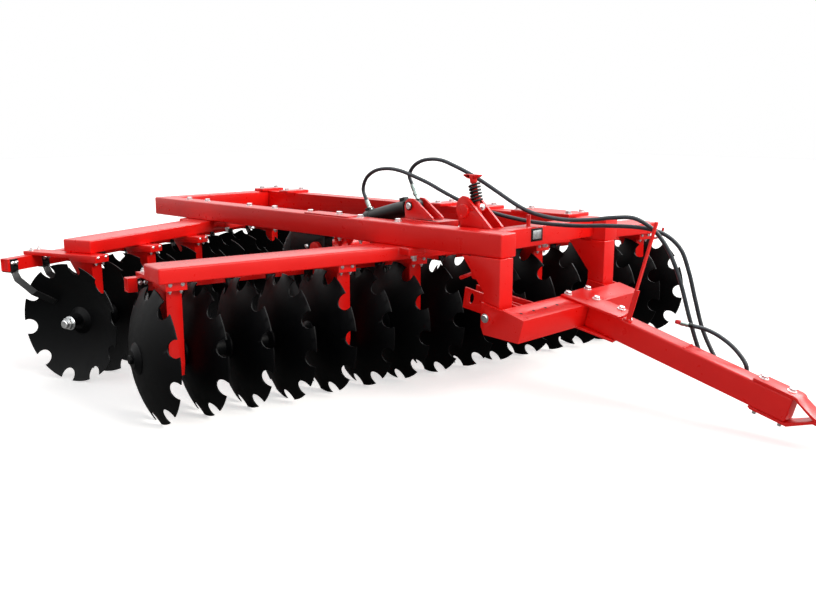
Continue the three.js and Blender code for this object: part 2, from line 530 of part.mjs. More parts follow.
// ---- drawbar, in its own layout turned nose down about its pin ----
function buildDrawbar(parent) {
  const group = new THREE.Group();
  group.position.set(0, drawbar.pinY, drawbar.pinZ);
  group.rotation.x = drawbar.noseDown * rad;
  parent.add(group);
  const cheekShape = [[-yoke.front, yoke.bottom], [-4, -90], [24, -56], [52, 62], [-yoke.front, yoke.top]];
  const innerShape = [[-yoke.back - 20, yoke.bottom], [20, -52], [44, 0], [44, 60], [-yoke.back - 20, yoke.top]];
  const pieces = [];
  for (const side of [-1, 1]) {
    const a = postOut(side) + side * yoke.side, b = a + side * yoke.cheek;
    const c = postIn(side) - side * yoke.side, d = c - side * yoke.cheek;
    pieces.push(plateX(cheekShape, Math.min(a, b), Math.max(a, b)));
    pieces.push(plateX(innerShape, Math.min(c, d), Math.max(c, d)));
    pieces.push(rodBetween(b + side * 12, d, drawbar.pinRadius, 16));
  }
  // The fork that the levelling rod's foot is pinned in, each plate with a slot behind.
  const fork = [[-yoke.back - 10, yoke.bottom + 6], ...forkOutline, [-yoke.back - 10, yoke.top - 4]];
  for (const x of [levelX - yoke.fork / 2, levelX + yoke.fork / 2])
    pieces.push(plateX(fork, x - yoke.forkPlate / 2, x + yoke.forkPlate / 2, [forkSlot]));
  const end = postOut(1) + yoke.side + yoke.cheek, start = postOut(-1) - yoke.side - yoke.cheek;
  const { radius, depth } = yokeHoles;
  const holes = yokeHoles.places.map((x) => new THREE.CylinderGeometry(radius, radius, 2 * depth, 8)
    .rotateX(Math.PI / 2).translate(x, -yoke.front + yokeHoles.fromFront, yoke.top));
  mesh("drawbar_yoke", holes.reduce((body, hole) => body.subtract(solid(hole)),
    join(block(start, end, -yoke.front, -yoke.back, yoke.bottom, yoke.top), pieces)), paint, group);

  const left = tongue.x - tongue.width / 2, right = tongue.x + tongue.width / 2;
  const tubeTop = yoke.top, tubeBottom = yoke.top - tongue.height;
  mesh("drawbar_tube", block(left, right, -tongue.end, -yoke.front - fit, tubeBottom, tubeTop), paint, group);

  const sheet = [
    [spread.near, -spread.back - 8], [spread.far - 3, -spread.back + 6], [spread.far, -spread.waist],
    [spread.frontFar, -spread.front + spread.frontTurn], [spread.frontNear, -spread.front],
  ];
  for (const [name, z] of [["top", tubeTop + fit], ["bottom", tubeBottom - fit - spread.plate]])
    mesh(`drawbar_${name}_gusset`, plateZ(sheet, z, z + spread.plate), paint, group);

  // The hitch: two bent plates that close on each other ahead of the tube.
  const t = tongue.plate;
  const mid = tip.low + t;
  const over = tubeTop + fit, under = tubeBottom - fit;
  const bend = tongue.end + 5;
  const upper = [
    [tip.upperLap - tongue.end, over], [tip.upperLap - tongue.end, over + t], [-bend, over + t],
    [-bend - tip.bend / 2, over + t - 5], [-bend - tip.bend + 5, over + t - 17],
    [-tip.from + 6, mid + t + 4], [-tip.from - 8, mid + t], [-tip.end, mid + t],
    [-tip.end, mid], [-tip.from - 2, mid], [-bend - tip.bend / 2, over - 8], [-bend - 4, over],
  ];
  const lower = [
    [tip.lowerLap - tongue.end, under], [2 - bend, under], [-tip.from, mid - fit], [-tip.end, mid - fit],
    [-tip.end, tip.low], [-tip.from - 2, tip.low], [-bend - 8, under - t], [tip.lowerLap - tongue.end - 12, under - t],
    [tip.lowerLap - tongue.end, under - t + 8],
  ];
  const holeCut = new THREE.CylinderGeometry(tip.hole, tip.hole, 200, 16).rotateX(Math.PI / 2)
    .translate(tongue.x, -(tip.end - tip.holeBack), 40);
  for (const [name, shape] of [["upper", upper], ["lower", lower]])
    mesh(`hitch_${name}_plate`, solid(plateX(shape, left, right)).subtract(solid(holeCut)), paint, group);

  // The hose holder stands on the tube and carries both hoses in its hook.
  const { x, y, width, deep } = holder;
  const foot = tubeTop + fit, stand = foot + holder.footThick - 1;
  const shelf = foot + hook.z;
  mesh("hose_holder", join(
    block(x - holder.foot / 2, x + holder.foot / 2, y - holder.footFront, y + holder.footBack, foot, foot + holder.footThick),
    block(x - width / 2, x + width / 2, y - deep / 2, y + deep / 2, stand, foot + holder.top),
    block(x - width / 2, x - width / 2 + rib.thick, y - deep / 2 - rib.deep, y, stand, foot + rib.height),
    block(x, x + hook.end + hook.lip, y - deep / 2, y + deep / 2, shelf, shelf + hook.thick),
    block(x + hook.end, x + hook.end + hook.lip, y - deep / 2, y + deep / 2, shelf + 1, shelf + hook.lipTop),
  ), paint, group);
}

// ---- transport wheels ----
function buildRockshaft(parent) {
  const group = new THREE.Group();
  group.position.set(0, rock.y, rock.z);
  parent.add(group);
  const reach = rock.rest * rad;
  const wheelY = rock.arm * Math.cos(reach), wheelZ = -rock.arm * Math.sin(reach);
  const end = railCentre + rock.past;
  const half = tyre.width / 2;
  const pieces = [new THREE.BoxGeometry(rock.armWidth, rock.arm + 60, rock.armDeep)
    .translate(0, rock.arm / 2 + 10, 0).rotateX(-reach).translate(rock.x, 0, 0)];
  for (const side of [-1, 1]) {
    const shoulder = rock.wheels - tyre.bead * half - fit;
    pieces.push(rodBetween(rock.x, rock.x + side * shoulder, spindle.shoulder, 12).translate(0, wheelY, wheelZ));
    const outer = rock.x + side * (rock.wheels + spindle.out);
    pieces.push(rodBetween(rock.x + side * (shoulder - 1), outer, spindle.radius, 12).translate(0, wheelY, wheelZ));
  }
  const lean = crank.lean * rad;
  const crankY = -crank.length * Math.sin(lean), crankZ = crank.length * Math.cos(lean);
  for (const side of [-1, 1]) {
    pieces.push(new THREE.BoxGeometry(crank.thick, crank.width, crank.length + 2 * crank.eye)
      .translate(0, 0, crank.length / 2).rotateX(lean).translate(ramX + side * crank.half, 0, 0));
    pieces.push(rodBetween(ramX + side * (crank.half + 2), ramX + side * crank.pinOut, crank.pin, 12)
      .translate(0, crankY, crankZ));
  }
  mesh("rockshaft", join(rod(-end, end, rock.radius, 16), pieces), paint, group);

  const bead = tyre.bead * half, tread = tyre.tread * half;
  const inner = tyre.rim - wheel.wall;
  const tyreProfile = [
    [-bead, tyre.rim + 1], [-half, tyre.rim + tyre.bulge], [-0.95 * half, tyre.radius - tyre.shoulder],
    [-tread, tyre.radius], [tread, tyre.radius], [0.95 * half, tyre.radius - tyre.shoulder],
    [half, tyre.rim + tyre.bulge], [bead, tyre.rim + 1], [-bead, tyre.rim + 1],
  ];
  const rimProfile = [
    [-bead, wheel.bore], [-bead, wheel.hub], [wheel.disc[0], wheel.hub], [wheel.disc[0], inner], [-bead, inner],
    [-bead, tyre.rim], [bead, tyre.rim], [bead, inner], [wheel.disc[1], inner], [wheel.disc[1], wheel.hub],
    [wheel.hubOut, wheel.hub], [wheel.hubOut, wheel.bore], [-bead, wheel.bore],
  ];
  for (const [name, side] of [["near", -1], ["far", 1]]) {
    const turning = new THREE.Group();
    turning.position.set(rock.x + side * rock.wheels, wheelY, wheelZ);
    turning.rotation.z = side < 0 ? Math.PI : 0;
    group.add(turning);
    mesh(name + "_tyre", turned(tyreProfile, tyre.sides), rubber, turning);
    mesh(name + "_wheel_rim", solid(turned(rimProfile, tyre.sides)), zinc, turning);
  }
}

// ---- hydraulic cylinder ----
function buildCylinder(parent) {
  const lean = crank.lean * rad;
  const eyeY = rock.y - crank.length * Math.sin(lean), eyeZ = rock.z + crank.length * Math.cos(lean);
  const dy = eyeY - ram.pinY, dz = eyeZ - ram.pinZ;
  const length = Math.hypot(dy, dz);
  const group = new THREE.Group();
  group.position.set(ramX, ram.pinY, ram.pinZ);
  group.rotation.x = Math.atan2(dz, dy);
  parent.add(group);
  // In this layout the cylinder runs along +Y from its pin.
  const along = (x0, x1, r, sides) => rod(x0, x1, r, sides).rotateZ(Math.PI / 2);
  const pinHole = rod(-clevis.front, clevis.front, ram.pin + 1, 16);
  // A fitting runs on from each hose's end into the barrel.
  const fittings = hosePoints.map(([end, next]) => {
    const start = new THREE.Vector3(...end).sub(group.position);
    const out = new THREE.Vector3(...next).sub(new THREE.Vector3(...end)).normalize();
    const turnBack = group.quaternion.clone().invert();
    const from = start.clone().addScaledVector(out, -fitting.length).applyQuaternion(turnBack);
    const to = start.clone().addScaledVector(out, -fit).applyQuaternion(turnBack);
    return bar(from.toArray(), to.toArray(), fitting.radius, 8);
  });
  const { half } = clevis;
  mesh("cylinder_barrel", join(along(ram.barrelFrom, ram.barrelEnd, ram.radius, 18),
    block(-half, half, -clevis.back, clevis.front, -clevis.height, clevis.height), fittings)
    .subtract(solid(pinHole)).subtract(solid(along(ram.boreFrom, ram.barrelEnd + 1, ram.rod + 0.5, 16))), blackSteel, group);
  const pinReach = crank.half - crank.thick / 2 - fit;
  mesh("cylinder_rod", join(along(ram.boreFrom + 10, length - 20, ram.rod, 16),
    block(-half, half, length - clevis.rodEnd, length + clevis.rodEnd, -clevis.rodHeight, clevis.rodHeight),
    rod(-pinReach, pinReach, clevis.rodPin, 12).translate(0, length, 0)), zinc, group);
}

// ---- levelling rod ----
function buildLevelling(parent) {
  const dy = level.footY - level.y, dz = level.footZ - level.z;
  const length = Math.hypot(dy, dz);
  const group = new THREE.Group();
  group.position.set(levelX, level.y, level.z);
  group.rotation.x = Math.atan2(-dy, -dz) * -1;
  parent.add(group);
  // In this layout the rod runs along Z and its trunnion lies on X.
  const up = (z0, z1, r, sides) => rod(z0, z1, r, sides).rotateY(-Math.PI / 2);
  const { half, halfHeight, out } = trunnionBlock;
  const reach = yoke.fork / 2 + out;
  mesh("levelling_trunnion", join(block(-half, half, -half, half, -halfHeight, halfHeight), rod(-reach, reach, level.pivot, 12))
    .subtract(solid(up(-reach, reach, level.radius + 0.5, 12))), zinc, group);
  const { cap, web, footHalf } = levelTop;
  const neckLow = level.top - levelTop.neckLow;
  const capLow = level.top - levelTop.capDeep, webLow = level.top - levelTop.webDeep;
  const footPin = (yoke.fork - yoke.forkPlate) / 2 - fit;
  mesh("levelling_rod", join(
    up(-length + footHalf - 4, webLow, level.radius, 12),
    up(neckLow, capLow, levelTop.neck, 12),
    plateX([[-cap, level.top], [cap, level.top], [cap, capLow], [web, webLow], [-web, webLow], [-cap, capLow]],
      -levelTop.width / 2, levelTop.width / 2),
    block(2 - level.pivot, level.pivot - 2, -footHalf, footHalf, -length - footHalf, -length + footHalf),
    rod(-footPin, footPin, levelTop.footPin, 12).translate(0, 0, -length),
  ), paint, group);
  mesh("levelling_spring", solid(up(halfHeight + fit, neckLow - fit, springRadius, 12))
    .subtract(solid(up(0, level.top, level.radius + 0.5, 12))), blackSteel, group);
}

// ---- hydraulic hoses ----
const hoseSection = Array.from({ length: hose.sides }, (_, i) => {
  const turn = (2 * Math.PI * i) / hose.sides;
  return new THREE.Vector2(hose.radius * Math.cos(turn), hose.radius * Math.sin(turn));
});

// The stretch of a curve between two of its lengths.
class Stretch extends THREE.Curve {
  constructor(curve, from, to) {
    super();
    Object.assign(this, { curve, from, to, whole: curve.getLength() });
  }

  getPoint(share, target = new THREE.Vector3()) {
    return target.copy(this.curve.getPointAt((this.from + (this.to - this.from) * share) / this.whole));
  }
}

function hoseRun(curve, from, to, steps) {
  return new THREE.ExtrudeGeometry(new THREE.Shape(hoseSection),
    { steps, bevelEnabled: false, extrudePath: new Stretch(curve, from, to) });
}

function buildHoses(parent) {
  hosePoints.forEach((points, k) => {
    const curve = new THREE.CatmullRomCurve3(points.map((point) => new THREE.Vector3(...point)), false, "centripetal");
    curve.arcLengthDivisions = 2000;
    const whole = curve.getLength();
    let cut = 0;
    while (curve.getPointAt(cut / whole).y > hose.cutY) cut++;
    const [back, front] = hoseSteps[k];
    mesh(`hose_${k + 1}_rear`, hoseRun(curve, 0, cut, back), rubber, parent);
    mesh(`hose_${k + 1}_front`, hoseRun(curve, cut + fit, whole, front), rubber, parent);
    const ends = new THREE.Group();
    ends.position.copy(curve.getPointAt(1));
    ends.quaternion.setFromUnitVectors(new THREE.Vector3(1, 0, 0), curve.getTangentAt(1));
    parent.add(ends);
    const { length, capLength } = coupler;
    mesh(`hose_${k + 1}_coupler`, turned([[fit, 0], [fit, coupler.radius], [length, coupler.radius],
      [length, coupler.cap], [length + capLength, coupler.cap], [length + capLength, 0]], 8), zinc, ends);
  });
}

const model = new THREE.Group();
model.position.set(-origin.x, -origin.y, 0);
buildFrame(model);
buildGang("front", gangs.front, model);
buildGang("rear", gangs.rear, model);
buildDrawbar(model);
buildRockshaft(model);
buildCylinder(model);
buildLevelling(model);
buildHoses(model);

export default model;
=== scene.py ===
# Trailed offset disc harrow, dressed around its packed steelwork.
# Metres, +Z up, drawbar towards -Y, the gangs' near ends towards -X.
import json
import math

import bmesh
import bpy
from mathutils import Matrix, Vector

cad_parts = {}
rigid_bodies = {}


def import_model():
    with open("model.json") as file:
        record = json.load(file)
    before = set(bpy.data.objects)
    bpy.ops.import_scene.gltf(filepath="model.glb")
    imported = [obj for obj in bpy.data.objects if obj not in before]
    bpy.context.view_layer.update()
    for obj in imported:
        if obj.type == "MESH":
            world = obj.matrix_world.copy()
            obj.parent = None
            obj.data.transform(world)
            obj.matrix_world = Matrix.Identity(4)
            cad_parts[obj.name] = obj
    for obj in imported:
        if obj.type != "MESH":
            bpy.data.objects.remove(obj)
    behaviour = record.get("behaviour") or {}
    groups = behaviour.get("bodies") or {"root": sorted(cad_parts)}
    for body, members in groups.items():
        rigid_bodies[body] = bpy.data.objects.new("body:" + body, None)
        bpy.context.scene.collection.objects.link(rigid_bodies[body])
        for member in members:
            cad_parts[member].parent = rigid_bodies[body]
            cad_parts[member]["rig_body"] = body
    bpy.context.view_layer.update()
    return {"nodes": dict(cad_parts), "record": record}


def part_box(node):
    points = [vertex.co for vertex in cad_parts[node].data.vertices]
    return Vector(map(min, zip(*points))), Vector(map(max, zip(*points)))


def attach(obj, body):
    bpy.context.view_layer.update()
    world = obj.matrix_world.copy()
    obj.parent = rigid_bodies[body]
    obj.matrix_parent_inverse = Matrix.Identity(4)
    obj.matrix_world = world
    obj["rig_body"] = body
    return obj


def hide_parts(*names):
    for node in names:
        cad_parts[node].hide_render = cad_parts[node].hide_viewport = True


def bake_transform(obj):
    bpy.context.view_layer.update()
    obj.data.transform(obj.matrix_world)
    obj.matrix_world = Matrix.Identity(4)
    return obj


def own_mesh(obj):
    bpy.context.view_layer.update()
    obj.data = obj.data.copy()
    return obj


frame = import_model()
print("frame loaded:", len(frame["nodes"]), "nodes")

# the point on the ground under the frame's centre line that every layout is measured from
frameLayout = {"halfWidth": 0.5225, "railFront": 0.9}
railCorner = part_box("near_rail")[0]
zero = Vector((railCorner.x + frameLayout["halfWidth"], railCorner.y + frameLayout["railFront"], 0.0))


# a point given in millimetres from there
def spot(x, y, z):
    return zero + Vector((x, y, z)) / 1000


# a layout of its own for what stands turned in the frame: where it starts, and its turn about one axis
def turnedLayout(x, y, z, axis, degrees):
    return Matrix.Translation(spot(x, y, z)) @ Matrix.Rotation(math.radians(degrees), 4, axis)


squareLayout = Matrix.Translation(zero)
drawbarLayout = turnedLayout(0, -846, 479, "X", 14.7)
ramLayout = turnedLayout(-310, -134, 967, "X", -15.17)
levelLayout = turnedLayout(-330, -594, 985, "X", -14.24)
wheelLayout = turnedLayout(60, 500, 680, "X", -26.3)

# camera: its place in millimetres, how far it looks down and turns in radians, and its lens
cameraView = {"place": (-3941, -3570, 1424), "down": 0.202, "turn": 0.804, "lens": 39.9}
cameraData = bpy.data.cameras.new("camera")
cameraData.lens = cameraView["lens"]
camera = bpy.data.objects.new("camera", cameraData)
camera.location = spot(*cameraView["place"])
camera.rotation_euler = (math.pi / 2 - cameraView["down"], 0.0, -cameraView["turn"])
bpy.context.scene.collection.objects.link(camera)
bpy.context.scene.camera = camera
print("camera set")


# materials: sRGB hex colours, and patterns whose size is in millimetres
def linear(hexColour):
    channels = [int(hexColour[i:i + 2], 16) / 255 for i in (1, 3, 5)]
    return [c / 12.92 if c <= 0.04045 else ((c + 0.055) / 1.055) ** 2.4 for c in channels] + [1.0]


# the scale of a noise whose marks are this many millimetres apart
def perMetre(millimetres):
    return 1000 / millimetres


# one node with its settings, what its inputs take, and the colours along it if it is a colour ramp
def addNode(holder, kind, settings=None, inputs=None, stops=()):
    node = holder.node_tree.nodes.new(kind)
    for name, value in (settings or {}).items():
        setattr(node, name, value)
    for name, value in (inputs or {}).items():
        if isinstance(value, bpy.types.NodeSocket):
            holder.node_tree.links.new(value, node.inputs[name])
        else:
            node.inputs[name].default_value = value
    for i, (position, hexColour) in enumerate(stops):
        node.color_ramp.elements[i].position = position
        node.color_ramp.elements[i].color = linear(hexColour)
    return node


def newMaterial(name):
    material = bpy.data.materials.new(name)
    material.use_nodes = True
    material.node_tree.nodes.clear()
    return material


noiseLow, noiseHigh = 0.3, 0.7      # a noise seldom leaves these


# Sprayed enamel over steel: the film's thickness drifts, so its colour does, peel ripples what it mirrors and dust
# dulls the gloss. Real peel is about 2 mm across and dust is finer, so both are drawn coarser than they are, to show.
enamelMarks = {"film": 260, "dust": 45, "peel": 34, "peelHeight": 0.002}


def makeEnamel(name, low, high, gloss, peelDepth, specular):
    enamel = newMaterial(name)
    place = addNode(enamel, "ShaderNodeTexCoord").outputs["Object"]
    film, dust, peel = [addNode(enamel, "ShaderNodeTexNoise", inputs={
        "Vector": place, "Scale": perMetre(enamelMarks[mark]), "Detail": detail}).outputs["Fac"]
        for mark, detail in (("film", 3.0), ("dust", 6.0), ("peel", 2.0))]
    colour = addNode(enamel, "ShaderNodeValToRGB", inputs={"Fac": film}, stops=((noiseLow, low), (noiseHigh, high)))
    shine = addNode(enamel, "ShaderNodeMapRange", inputs={
        "Value": dust, "From Min": noiseLow, "From Max": noiseHigh, "To Min": gloss[0], "To Max": gloss[1]})
    bump = addNode(enamel, "ShaderNodeBump", inputs={
        "Height": peel, "Strength": peelDepth, "Distance": enamelMarks["peelHeight"]})
    shader = addNode(enamel, "ShaderNodeBsdfPrincipled", inputs={
        "Base Color": colour.outputs["Color"], "Roughness": shine.outputs["Result"],
        "Normal": bump.outputs["Normal"], "Specular IOR Level": specular})
    addNode(enamel, "ShaderNodeOutputMaterial", inputs={"Surface": shader.outputs[0]})
    return enamel


# Bare or plated metal: blotches of duller plate or wiped oil, this many millimetres apart, change colour and gloss.
def makeMetal(name, low, high, gloss, blotches):
    metal = newMaterial(name)
    place = addNode(metal, "ShaderNodeTexCoord").outputs["Object"]
    blotch = addNode(metal, "ShaderNodeTexNoise", inputs={
        "Vector": place, "Scale": perMetre(blotches), "Detail": 5.0}).outputs["Fac"]
    colour = addNode(metal, "ShaderNodeValToRGB", inputs={"Fac": blotch}, stops=((noiseLow, low), (noiseHigh, high)))
    shine = addNode(metal, "ShaderNodeMapRange", inputs={"Value": blotch, "To Min": gloss[0], "To Max": gloss[1]})
    shader = addNode(metal, "ShaderNodeBsdfPrincipled", inputs={
        "Base Color": colour.outputs["Color"], "Roughness": shine.outputs["Result"], "Metallic": 1.0})
    addNode(metal, "ShaderNodeOutputMaterial", inputs={"Surface": shader.outputs[0]})
    return metal


# Moulded rubber or soft plastic: matt, with a dusty bloom that also roughens it. The real grain is under a
# millimetre, and the bloom is drawn this many millimetres across, to show.
rubberGrain = {"strength": 0.15, "height": 0.001, "specular": 0.3}


def makeRubber(name, low, high, bloomSize, gloss):
    rubber = newMaterial(name)
    place = addNode(rubber, "ShaderNodeTexCoord").outputs["Object"]
    bloom = addNode(rubber, "ShaderNodeTexNoise", inputs={
        "Vector": place, "Scale": perMetre(bloomSize), "Detail": 6.0}).outputs["Fac"]
    colour = addNode(rubber, "ShaderNodeValToRGB", inputs={"Fac": bloom}, stops=((noiseLow, low), (noiseHigh, high)))
    bump = addNode(rubber, "ShaderNodeBump", inputs={
        "Height": bloom, "Strength": rubberGrain["strength"], "Distance": rubberGrain["height"]})
    shader = addNode(rubber, "ShaderNodeBsdfPrincipled", inputs={
        "Base Color": colour.outputs["Color"], "Roughness": gloss, "Normal": bump.outputs["Normal"],
        "Specular IOR Level": rubberGrain["specular"]})
    addNode(rubber, "ShaderNodeOutputMaterial", inputs={"Surface": shader.outputs[0]})
    return rubber


# glossy red on the frame, pale where it mirrors the floor; half matt black; and thin black on the discs, nearly dull
redEnamel = makeEnamel("sprayed_red_enamel", "#df1310", "#e51914", (0.27, 0.32), 0.008, 0.3)
blackEnamel = makeEnamel("satin_black_enamel", "#030304", "#070809", (0.36, 0.5), 0.03, 0.2)
discEnamel = makeEnamel("rolled_disc_enamel", "#020203", "#050607", (0.42, 0.52), 0.012, 0.08)
# grey steel on ground edges, pale lively zinc on bolts, duller zinc on hose fittings, a near mirror on the rod
groundEdge = makeMetal("ground_disc_edge", "#5c6064", "#8b9095", (0.35, 0.5), 12)
zincPlate = makeMetal("bright_zinc_plate", "#b9bcbe", "#eceded", (0.24, 0.4), 14)
dullZinc = makeMetal("passivated_zinc_sleeve", "#7d8985", "#9fada8", (0.3, 0.45), 10)
hardChrome = makeMetal("hard_chrome_rod", "#d4d6da", "#e6e8ec", (0.06, 0.14), 30)
# dusty dark grey tyres, bluish hoses with a soft sheen, red caps
tyreRubber = makeRubber("moulded_tyre_rubber", "#101011", "#1d1d1e", 22, 0.7)
hoseRubber = makeRubber("smooth_hose_rubber", "#20252b", "#2f353b", 40, 0.42)
capPlastic = makeRubber("red_dust_cap_plastic", "#b50f18", "#c91a22", 15, 0.4)
slotMaterials = {"red_paint": redEnamel, "black_paint": blackEnamel, "zinc": zincPlate,
                 "chrome_rod": hardChrome, "tyre": tyreRubber, "hose_rubber": hoseRubber}
nodeSlots = {part["node"]: part["material_slot"] for part in frame["record"]["subparts"]}
for node, source in frame["nodes"].items():
    source.data.materials.clear()
    source.data.materials.append(slotMaterials[nodeSlots[node]])
print("materials made")


# modelling helpers
mergeGap = 0.00002      # points closer than this are one


def deselectAll():
    bpy.ops.object.select_all(action="DESELECT")


def makeActive(thing):
    deselectAll()
    thing.select_set(True)
    bpy.context.view_layer.objects.active = thing


def openEdit(thing, pick="FACE"):
    makeActive(thing)
    bpy.ops.object.mode_set(mode="EDIT")
    bpy.ops.mesh.select_mode(type=pick)


def selectAll():
    bpy.ops.mesh.select_all(action="SELECT")


def closeEdit():
    bpy.ops.object.mode_set(mode="OBJECT")


# ends an edit: merges the doubles and turns every face outwards
def closeShell(gap=mergeGap):
    selectAll()
    bpy.ops.mesh.remove_doubles(threshold=gap)
    bpy.ops.mesh.normals_make_consistent(inside=False)
    closeEdit()


def addPrimitive(kind, name, **settings):
    deselectAll()
    getattr(bpy.ops.mesh, f"primitive_{kind}_add")(**settings)
    thing = bpy.context.active_object
    thing.name = name
    bpy.ops.object.transform_apply(location=True, rotation=True, scale=True)
    return thing


# in edit mode: selects only the faces whose centre and normal pass the test
def pickFaces(thing, test):
    bpy.ops.mesh.select_all(action="DESELECT")
    shape = bmesh.from_edit_mesh(thing.data)
    for face in shape.faces:
        face.select_set(test(face.calc_center_median(), face.normal))
    bmesh.update_edit_mesh(thing.data)


def applyModifier(thing, kind, **settings):
    makeActive(thing)
    modifier = thing.modifiers.new(kind.lower(), kind)
    for name, value in settings.items():
        setattr(modifier, name, value)
    bpy.ops.object.modifier_apply(modifier=modifier.name)


# bevels every edge that is sharper than so many degrees
def roundArrises(thing, width, segments=2, degrees=40, **settings):
    applyModifier(thing, "BEVEL", width=width, segments=segments, limit_method="ANGLE",
                  angle_limit=math.radians(degrees), **settings)


def smooth(thing, degrees=32):
    makeActive(thing)
    bpy.ops.object.shade_smooth_by_angle(angle=math.radians(degrees))


def joinAll(things, name):
    deselectAll()
    for thing in things:
        thing.select_set(True)
    bpy.context.view_layer.objects.active = things[0]
    bpy.ops.object.join()
    things[0].name = name
    return things[0]


# a copy with its own mesh, put in place by a matrix
def copyTo(thing, matrix, name=None):
    copy = thing.copy()
    copy.data = thing.data.copy()
    copy.data.transform(matrix)
    copy.name = name or thing.name + "_copy"
    bpy.context.scene.collection.objects.link(copy)
    return copy


def discard(*things):
    for thing in things:
        bpy.data.objects.remove(thing, do_unlink=True)


def paint(thing, *materials):
    thing.data.materials.clear()
    for material in materials:
        thing.data.materials.append(material)


# the last step of each piece: the body that it moves with, the nodes that it stands for and its finish, which is the
# slot's own unless others are given; with an empty list it stays painted as it is
def finishPiece(thing, body, slotName, nodes=(), finishes=None):
    if finishes is None:
        finishes = [slotMaterials[slotName]]
    if finishes:
        paint(thing, *finishes)
    if body:
        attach(thing, body)
    if nodes:
        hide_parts(*nodes)
    return thing


# opens an edit: a line drawn out point by point, each [along X, radius]
def drawProfile(name, profile):
    thing = addPrimitive("plane", name, size=0.01)
    openEdit(thing)
    selectAll()
    bpy.ops.mesh.merge(type="CENTER")
    bpy.ops.mesh.select_mode(type="VERT")
    selectAll()
    here = Vector((profile[0][0], 0, profile[0][1]))
    bpy.ops.transform.translate(value=here)
    for along, radius in profile[1:]:
        there = Vector((along, 0, radius))
        bpy.ops.mesh.extrude_region_move(TRANSFORM_OT_translate={"value": there - here})
        here = there
    selectAll()
    return thing


# a round piece about the X axis, spun from such a line
def spinProfile(name, profile, steps=48):
    thing = drawProfile(name, profile)
    bpy.ops.mesh.spin(steps=steps, angle=2 * math.pi, center=(0, 0, 0), axis=(1, 0, 0))
    closeShell()
    return thing


# the same, put in place and shaded smooth where it bends less than so many degrees
def turnedPiece(name, profile, steps, layout, degrees=32):
    thing = spinProfile(name, profile, steps)
    thing.data.transform(layout)
    smooth(thing, degrees)
    return thing


# a box from its lowest to its highest corner, its arrises rounded
def roundedBox(name, low, high, width=0.002):
    size = [b - a for a, b in zip(low, high)]
    middle = [(a + b) / 2 for a, b in zip(low, high)]
    thing = addPrimitive("cube", name, size=1, location=middle, scale=size)
    roundArrises(thing, width)
    smooth(thing)
    return thing


# a node's own steel with its arrises rounded, as rolled tube and cut plate have them
def dressNode(node, width, segments=2, finishes=None):
    source = frame["nodes"][node]
    thing = bpy.data.objects.new(node + "_steel", source.data.copy())
    bpy.context.scene.collection.objects.link(thing)
    openEdit(thing)
    selectAll()
    bpy.ops.mesh.remove_doubles(threshold=mergeGap)
    bpy.ops.mesh.dissolve_limited(angle_limit=math.radians(0.5))
    closeEdit()
    roundArrises(thing, width, segments)
    smooth(thing)
    return finishPiece(thing, source["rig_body"], nodeSlots[node], [node], finishes)


# in a layout: slides the points that pass the test
def slidePoints(thing, layout, test, move):
    inLayout = layout.inverted()
    openEdit(thing, "VERT")
    bpy.ops.mesh.select_all(action="DESELECT")
    shape = bmesh.from_edit_mesh(thing.data)
    for vertex in shape.verts:
        vertex.select_set(test(inLayout @ vertex.co))
    bmesh.update_edit_mesh(thing.data)
    bpy.ops.transform.translate(value=layout.to_3x3() @ Vector(move))
    closeEdit()


print("helpers ready")


# hydraulic hoses: each route in millimetres, from the cylinder's port over the guide on the front cross beam and the
# holder's hook on the drawbar to its coupler
hoses = {
    "diameter": 0.021, "pointGap": 0.012, "guideY": -790, "hookY": -1300, "hookAbove": 850,
    "routes": [
        [(-310, -104, 1080), (-310, -82, 1128), (-310, -112, 1178), (-307, -170, 1210), (-304, -240, 1221.8),
         (-300, -310, 1218), (-290, -385, 1194), (-275, -467, 1160), (-255, -546, 1119), (-230, -638, 1064),
         (-205, -725, 1010), (-184, -790, 976), (-160, -860, 953), (-120, -980, 936), (-75, -1100, 941),
         (-30, -1215, 957), (5, -1305, 957), (42, -1385, 908), (70, -1428, 850), (94, -1468, 769),
         (115, -1511, 648), (135, -1555, 487), (150, -1599, 349), (156, -1640, 262), (158, -1700, 205),
         (158, -1770, 185)],
        [(-310, 262, 972), (-310, 290, 1030), (-316, 262, 1093), (-326, 180, 1143), (-334, 65, 1162),
         (-338, -39, 1154), (-338, -129, 1132), (-330, -241, 1096), (-306, -336, 1050), (-276, -415, 1011),
         (-236, -500, 975), (-200, -583, 950), (-168, -680, 929), (-138, -790, 913), (-100, -900, 905),
         (-60, -1030, 904), (-16, -1160, 911), (44, -1310, 910), (78, -1378, 897), (108, -1436, 869),
         (138, -1490, 808), (160, -1527, 702), (178, -1561, 564), (192, -1604, 415), (200, -1663, 300),
         (198, -1716, 222), (185, -1780, 185), (165, -1835, 215), (155, -1852, 280), (160, -1792, 352),
         (160, -1704, 406), (134, -1648, 434), (97, -1596, 450)],
    ],
}


# close points on the smooth curve through a route
def smoothRoute(route):
    points = [spot(*point) for point in route]
    points = [points[0] * 2 - points[1]] + points + [points[-1] * 2 - points[-2]]
    fine = []
    for i in range(1, len(points) - 2):
        a, b, c, d = points[i - 1:i + 3]
        steps = [(q - p).length ** 0.5 for p, q in ((a, b), (b, c), (c, d))]
        t1 = (b - a) / steps[0] - (c - a) / (steps[0] + steps[1]) + (c - b) / steps[1]
        t2 = (c - b) / steps[1] - (d - b) / (steps[1] + steps[2]) + (d - c) / steps[2]
        t1, t2 = t1 * steps[1], t2 * steps[1]
        count = max(4, round((c - b).length / hoses["pointGap"]))
        for k in range(count):
            s = k / count
            fine.append(b + t1 * s + (3 * (c - b) - 2 * t1 - t2) * s ** 2 + (2 * (b - c) + t1 + t2) * s ** 3)
    return fine + [points[-2]]


